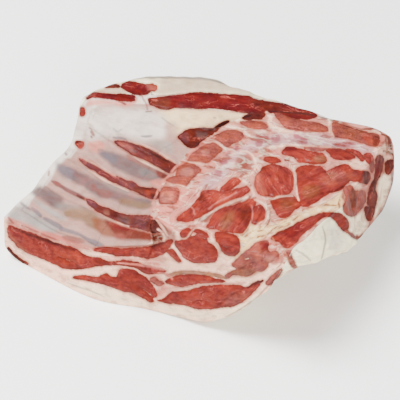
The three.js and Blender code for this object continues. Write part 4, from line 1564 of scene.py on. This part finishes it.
def lining_ground():
    """The rim, the lining and the step up to the spine, each in its own tone."""
    column = np.arange(lining.shape[1]) + np.zeros(lining.shape[:2])
    whole = toward(flat_tone(lining, "pale membrane"), "cool white", smooth(-3, 1, sum(RIM_STEPS) - column))
    return toward(whole, "sawn fat", smooth(-8, 8, column - lining.shape[1] + sum(STEP_STEPS)))


back, breast = np.s_[:, : KEEL_COLUMN + 1], np.s_[:, KEEL_COLUMN:]
pieces = {}
for name, grid, ground, core, swell, plates in [
    ("chest_lining", lining, lining_ground(), top_core, 0.2, 2),
    ("sawn_face", sawn, flat_tone(sawn, "sawn fat"), top_core, 1.2, 2),
    ("back_fat", skin[back], flat_tone(skin[back], "fat cover"), skin_core[back], 0.4, 2),
    ("breast_fat", skin[breast], flat_tone(skin[breast], "fat cover"), skin_core[breast], 0.4, 2),
    ("rib_cut", rib_cut, flat_tone(rib_cut, "warm fat"), rib_core, 1.5, 2),
    ("neck_cut", neck_cut, flat_tone(neck_cut, "sawn fat"), neck_core, 1.0, 1),
]:
    pieces[name] = finish_plates(name, grid, ground, core, swell, plates)

# %% [markdown]
# ## Raw lamb
# Fresh meat is wet and lets light in. Red light travels furthest under the surface, which is why thin edges
# glow. Lean meat is dark and shows the ends or the sides of its fibres, fat is pale and waxy, and bone that
# has been sawn is dark red and spongy. One material holds all of them, because they meet along ragged lines
# that a border between two materials could not follow.

# %% Small helpers for nodes
def add(tree, kind, inputs=None, **settings):
    """Adds a node with its settings. Each input is a number, a colour or the socket to link."""
    made = tree.nodes.new(kind)
    for name, value in settings.items():
        setattr(made, name, value)
    for name, value in (inputs or {}).items():
        if isinstance(value, bpy.types.NodeSocket):
            tree.links.new(value, made.inputs[name])
        else:
            made.inputs[name].default_value = value
    return made


def colour(tone):
    """A pigment as a node takes it, with its alpha."""
    return (*pigment(tone), 1.0)


def noise(tree, place, length, **looks):
    """Uneven numbers between 0 and 1 that change over about `length` millimetres."""
    return add(tree, "ShaderNodeTexNoise", {"Vector": place, "Scale": 1000 / length, **looks}).outputs[0]


def ramp(tree, value, low, high, start, end):
    """Goes from start to end while a value goes from low to high."""
    return add(tree, "ShaderNodeMapRange", {0: value, 1: low, 2: high, 3: start, 4: end}).outputs[0]


def mixed(tree, share, first, second):
    """One colour laid over another by a share."""
    return add(tree, "ShaderNodeMix", {0: share, 6: first, 7: second}, data_type="RGBA").outputs[2]


# %% [markdown]
# ## Layers of the one material
# First the border between flesh and fat is torn a little. Then flesh gets its fibres, the air's change of
# red, bone in the marrow and marbling, and fat gets its pink, smears and sinew. The depth chooses between
# the two, and near the border it lays a rim of sinew on the fat and a line of painted shade on the flesh.

# %% Fresh lamb, cut and wiped
# widths of the patterns, in millimetres
MUSCLE_FIBRE = 1.1
FAT_GRAIN = 4.0
MARROW_PORE = 1.3
AIRED = 11.0
BORDER_TEAR = 5
MARBLING = 7
BLUSH = 16
SLIVER = 6
SINEW = 8
# how far the border wanders, and how far it lies outside the drawn outline
RAGGED = 1.5
OUTWARDS = 0.75


def fresh_lamb(name, along, fibre_light, stain, sinewy, wet):
    """Raw lamb. `along` is how much longer the fibres are than wide on this cut, and `fibre_light` how light
    the lightest of them is. `stain` is how much of the fat carries slivers of red, `sinewy` how plainly white
    threads of sinew run through it, and `wet` how much of the surface holds a film of juice."""
    material = bpy.data.materials.new(name)
    material.use_nodes = True
    tree = material.node_tree
    tree.nodes.clear()
    place = add(tree, "ShaderNodeTexCoord").outputs["Object"]
    depth = add(tree, "ShaderNodeAttribute", attribute_name="depth").outputs["Fac"]
    flesh = add(tree, "ShaderNodeAttribute", attribute_name="flesh").outputs["Color"]
    ground = add(tree, "ShaderNodeAttribute", attribute_name="ground").outputs["Color"]
    spongy = add(tree, "ShaderNodeAttribute", attribute_name="spongy").outputs["Fac"]
    grain = add(tree, "ShaderNodeAttribute", attribute_name="grain").outputs["Vector"]

    # the border between flesh and fat wanders by about a millimetre
    tear = noise(tree, place, BORDER_TEAR, Detail=5.0, Roughness=0.68)
    shifted = add(
        tree, "ShaderNodeMath", {0: tear, 1: RAGGED * 2, 2: OUTWARDS - RAGGED}, operation="MULTIPLY_ADD"
    ).outputs[0]
    ragged = add(tree, "ShaderNodeMath", {0: depth, 1: shifted}, operation="ADD").outputs[0]
    lean = add(
        tree, "ShaderNodeMapRange", {0: ragged, 1: -0.35, 2: 0.35}, interpolation_type="SMOOTHSTEP"
    ).outputs[0]

    # fibres: noise drawn out along the grain
    stretched = add(tree, "ShaderNodeMapping", {"Vector": grain, "Scale": (1 / along, 1.0, 1.0)}).outputs[0]
    fibres = noise(tree, stretched, MUSCLE_FIBRE * 2, Detail=3.0, Distortion=0.4)
    bundles = noise(tree, stretched, MUSCLE_FIBRE * 9, Detail=2.0, Distortion=0.6)
    fibre_tone = ramp(tree, fibres, 0.3, 0.7, 0.72, fibre_light)
    bundle_tone = ramp(tree, bundles, 0.3, 0.7, 0.78, 1.2)
    both = add(tree, "ShaderNodeMath", {0: fibre_tone, 1: bundle_tone}, operation="MULTIPLY").outputs[0]
    flesh_lit = add(tree, "ShaderNodeVectorMath", {0: flesh, 3: both}, operation="SCALE").outputs[0]

    # myoglobin: bright red where the air has reached it, crimson where it has not
    air = noise(tree, place, AIRED, Detail=4.0, Roughness=0.6)
    aired = ramp(tree, air, 0.42, 0.6, 0.0, 1.0)
    tint = mixed(tree, aired, (0.86, 0.82, 0.94, 1), (1.17, 0.97, 0.82, 1))
    flesh_lit = add(tree, "ShaderNodeVectorMath", {0: flesh_lit, 1: tint}, operation="MULTIPLY").outputs[0]

    # marrow: pores of dark blood in a web of pale bone
    pores = noise(tree, place, MARROW_PORE, Detail=2.0)
    web = ramp(tree, pores, 0.45, 0.7, 0.0, 0.08)
    webbed = add(tree, "ShaderNodeMath", {0: web, 1: spongy}, operation="MULTIPLY").outputs[0]
    boned = mixed(tree, webbed, flesh_lit, colour("bone web"))

    # marbling: thin pale threads of fat that follow the bundles
    thread = noise(tree, stretched, MARBLING, Detail=4.0, Roughness=0.6, Distortion=0.8)
    middle = add(tree, "ShaderNodeMath", {0: thread, 1: 0.5}, operation="SUBTRACT").outputs[0]
    off_thread = add(tree, "ShaderNodeMath", {0: middle}, operation="ABSOLUTE").outputs[0]
    on_thread = ramp(tree, off_thread, 0.0, 0.02, 1.0, 0.0)
    patchy = ramp(tree, bundles, 0.45, 0.66, 0.0, 0.5)
    threads = add(tree, "ShaderNodeMath", {0: on_thread, 1: patchy}, operation="MULTIPLY").outputs[0]
    marbled = mixed(tree, threads, boned, colour("marbling"))

    # fat and sinew: waxy, with a slow change from cream to a faint pink
    swirl = noise(tree, place, FAT_GRAIN * 3, Detail=4.0)
    fat_tone = ramp(tree, swirl, 0.3, 0.7, 0.82, 1.08)
    ground_lit = add(tree, "ShaderNodeVectorMath", {0: ground, 3: fat_tone}, operation="SCALE").outputs[0]
    blush = noise(tree, place, BLUSH, Detail=5.0, Roughness=0.65)
    blushed = ramp(tree, blush, 0.52, 0.8, 0.0, 0.25)
    pink = mixed(tree, blushed, ground_lit, colour("blush"))

    # slivers of muscle that the saw smeared over fat and bone
    sliver = noise(tree, stretched, SLIVER, Detail=5.0, Roughness=0.7)
    smeared = ramp(tree, sliver, 0.5, 0.6, 0.0, stain)
    pink = mixed(tree, smeared, pink, colour("saw smear"))

    # and threads of white sinew between them
    sinew = noise(tree, stretched, SINEW, Detail=3.0, Distortion=0.5)
    off_sinew = add(tree, "ShaderNodeMath", {0: sinew, 1: 0.47}, operation="SUBTRACT").outputs[0]
    off_sinew = add(tree, "ShaderNodeMath", {0: off_sinew}, operation="ABSOLUTE").outputs[0]
    on_sinew = ramp(tree, off_sinew, 0.0, 0.05, sinewy, 0.0)
    pink = mixed(tree, on_sinew, pink, colour("sinew thread"))

    # a muscle ends in a thin rim of sinew that is half red
    near = ramp(tree, ragged, -1.8, 0.0, 0.0, 0.75)
    rimmed = mixed(tree, near, pink, colour("muscle rim"))

    # painted shade: a darker line along the inside of each muscle's border, where the cut fibres draw back
    # from the sinew
    edge = ramp(tree, ragged, 0.0, 1.6, 0.72, 1.0)
    border_shaded = add(tree, "ShaderNodeVectorMath", {0: marbled, 3: edge}, operation="SCALE").outputs[0]
    whole = mixed(tree, lean, rimmed, border_shaded)
    rough = add(tree, "ShaderNodeMapRange", {0: lean, 3: 0.5, 4: 0.38}).outputs[0]
    fine = add(tree, "ShaderNodeMath", {0: fibres, 1: swirl}, operation="ADD").outputs[0]
    relief = add(tree, "ShaderNodeBump", {"Height": fine, "Strength": 0.6, "Distance": 0.7 * MM}).outputs[0]
    skin_shader = add(
        tree, "ShaderNodeBsdfPrincipled",
        {
            "Base Color": whole, "Roughness": rough, "IOR": 1.38, "Normal": relief,
            "Specular IOR Level": 0.02, "Subsurface Weight": 0.18, "Subsurface Scale": 0.0009,
            "Subsurface Radius": (1.0, 0.35, 0.22), "Coat Weight": wet, "Coat Roughness": 0.1,
            "Coat IOR": 1.33,
        },
    )
    add(tree, "ShaderNodeOutputMaterial", {"Surface": skin_shader.outputs[0]})
    return material


cut_across = fresh_lamb("fresh lamb cut across the fibres", 1.6, 1.25, 0.35, 0.1, 0.06)
cut_along = fresh_lamb("fresh lamb sawn along the fibres", 3.0, 1.3, 0.8, 0.22, 0.12)
membrane = fresh_lamb("lamb under its membrane", 3.0, 1.15, 0.18, 0.0, 0.06)
cut_dry = fresh_lamb("lamb dried at the neck", 3.0, 1.25, 0.4, 0.15, 0.01)
surfaces = {"rib_cut": cut_across, "neck_cut": cut_dry, "sawn_face": cut_along}
for name, plates in pieces.items():
    for plate in plates:
        plate.data.materials.append(surfaces.get(name, membrane))

# %% [markdown]
# ## Table and light
# The photograph is lit from all sides on white. A pale table, a white sky and one large lamp from above do
# that.

# %% Table and light
TABLE_WIDTH, TABLE_GAP = 6, 0.0005
SKY_STRENGTH = 0.7
bpy.ops.mesh.primitive_plane_add(size=TABLE_WIDTH, location=(0, 0, -TABLE_GAP))
floor = bpy.context.object
floor.name = "table"
table = bpy.data.materials.new("matt white laminate")
table.use_nodes = True
laminate = table.node_tree.nodes["Principled BSDF"]
laminate.inputs["Base Color"].default_value = (0.9, 0.9, 0.89, 1)
laminate.inputs["Roughness"].default_value = 0.6
floor.data.materials.append(table)

sky = bpy.data.worlds.new("white studio")
sky.use_nodes = True
sky.node_tree.nodes["Background"].inputs["Color"].default_value = (1, 1, 1, 1)
sky.node_tree.nodes["Background"].inputs["Strength"].default_value = SKY_STRENGTH
bpy.context.scene.world = sky


def soft_lamp(name, place, width, watts):
    """A square lamp that shines at the middle of the object."""
    lamp = bpy.data.objects.new(name, bpy.data.lights.new(name, "AREA"))
    lamp.data.size = width
    lamp.data.energy = watts
    lamp.location = place
    lamp.rotation_mode = "QUATERNION"
    lamp.rotation_quaternion = (-Vector(place)).to_track_quat("-Z", "Y")
    bpy.context.scene.collection.objects.link(lamp)
    return lamp


soft_lamp("overhead", (-0.6, -0.1, 1.5), 0.8, 92)
soft_lamp("front", (0.5, -1.7, 1.0), 1.0, 48)
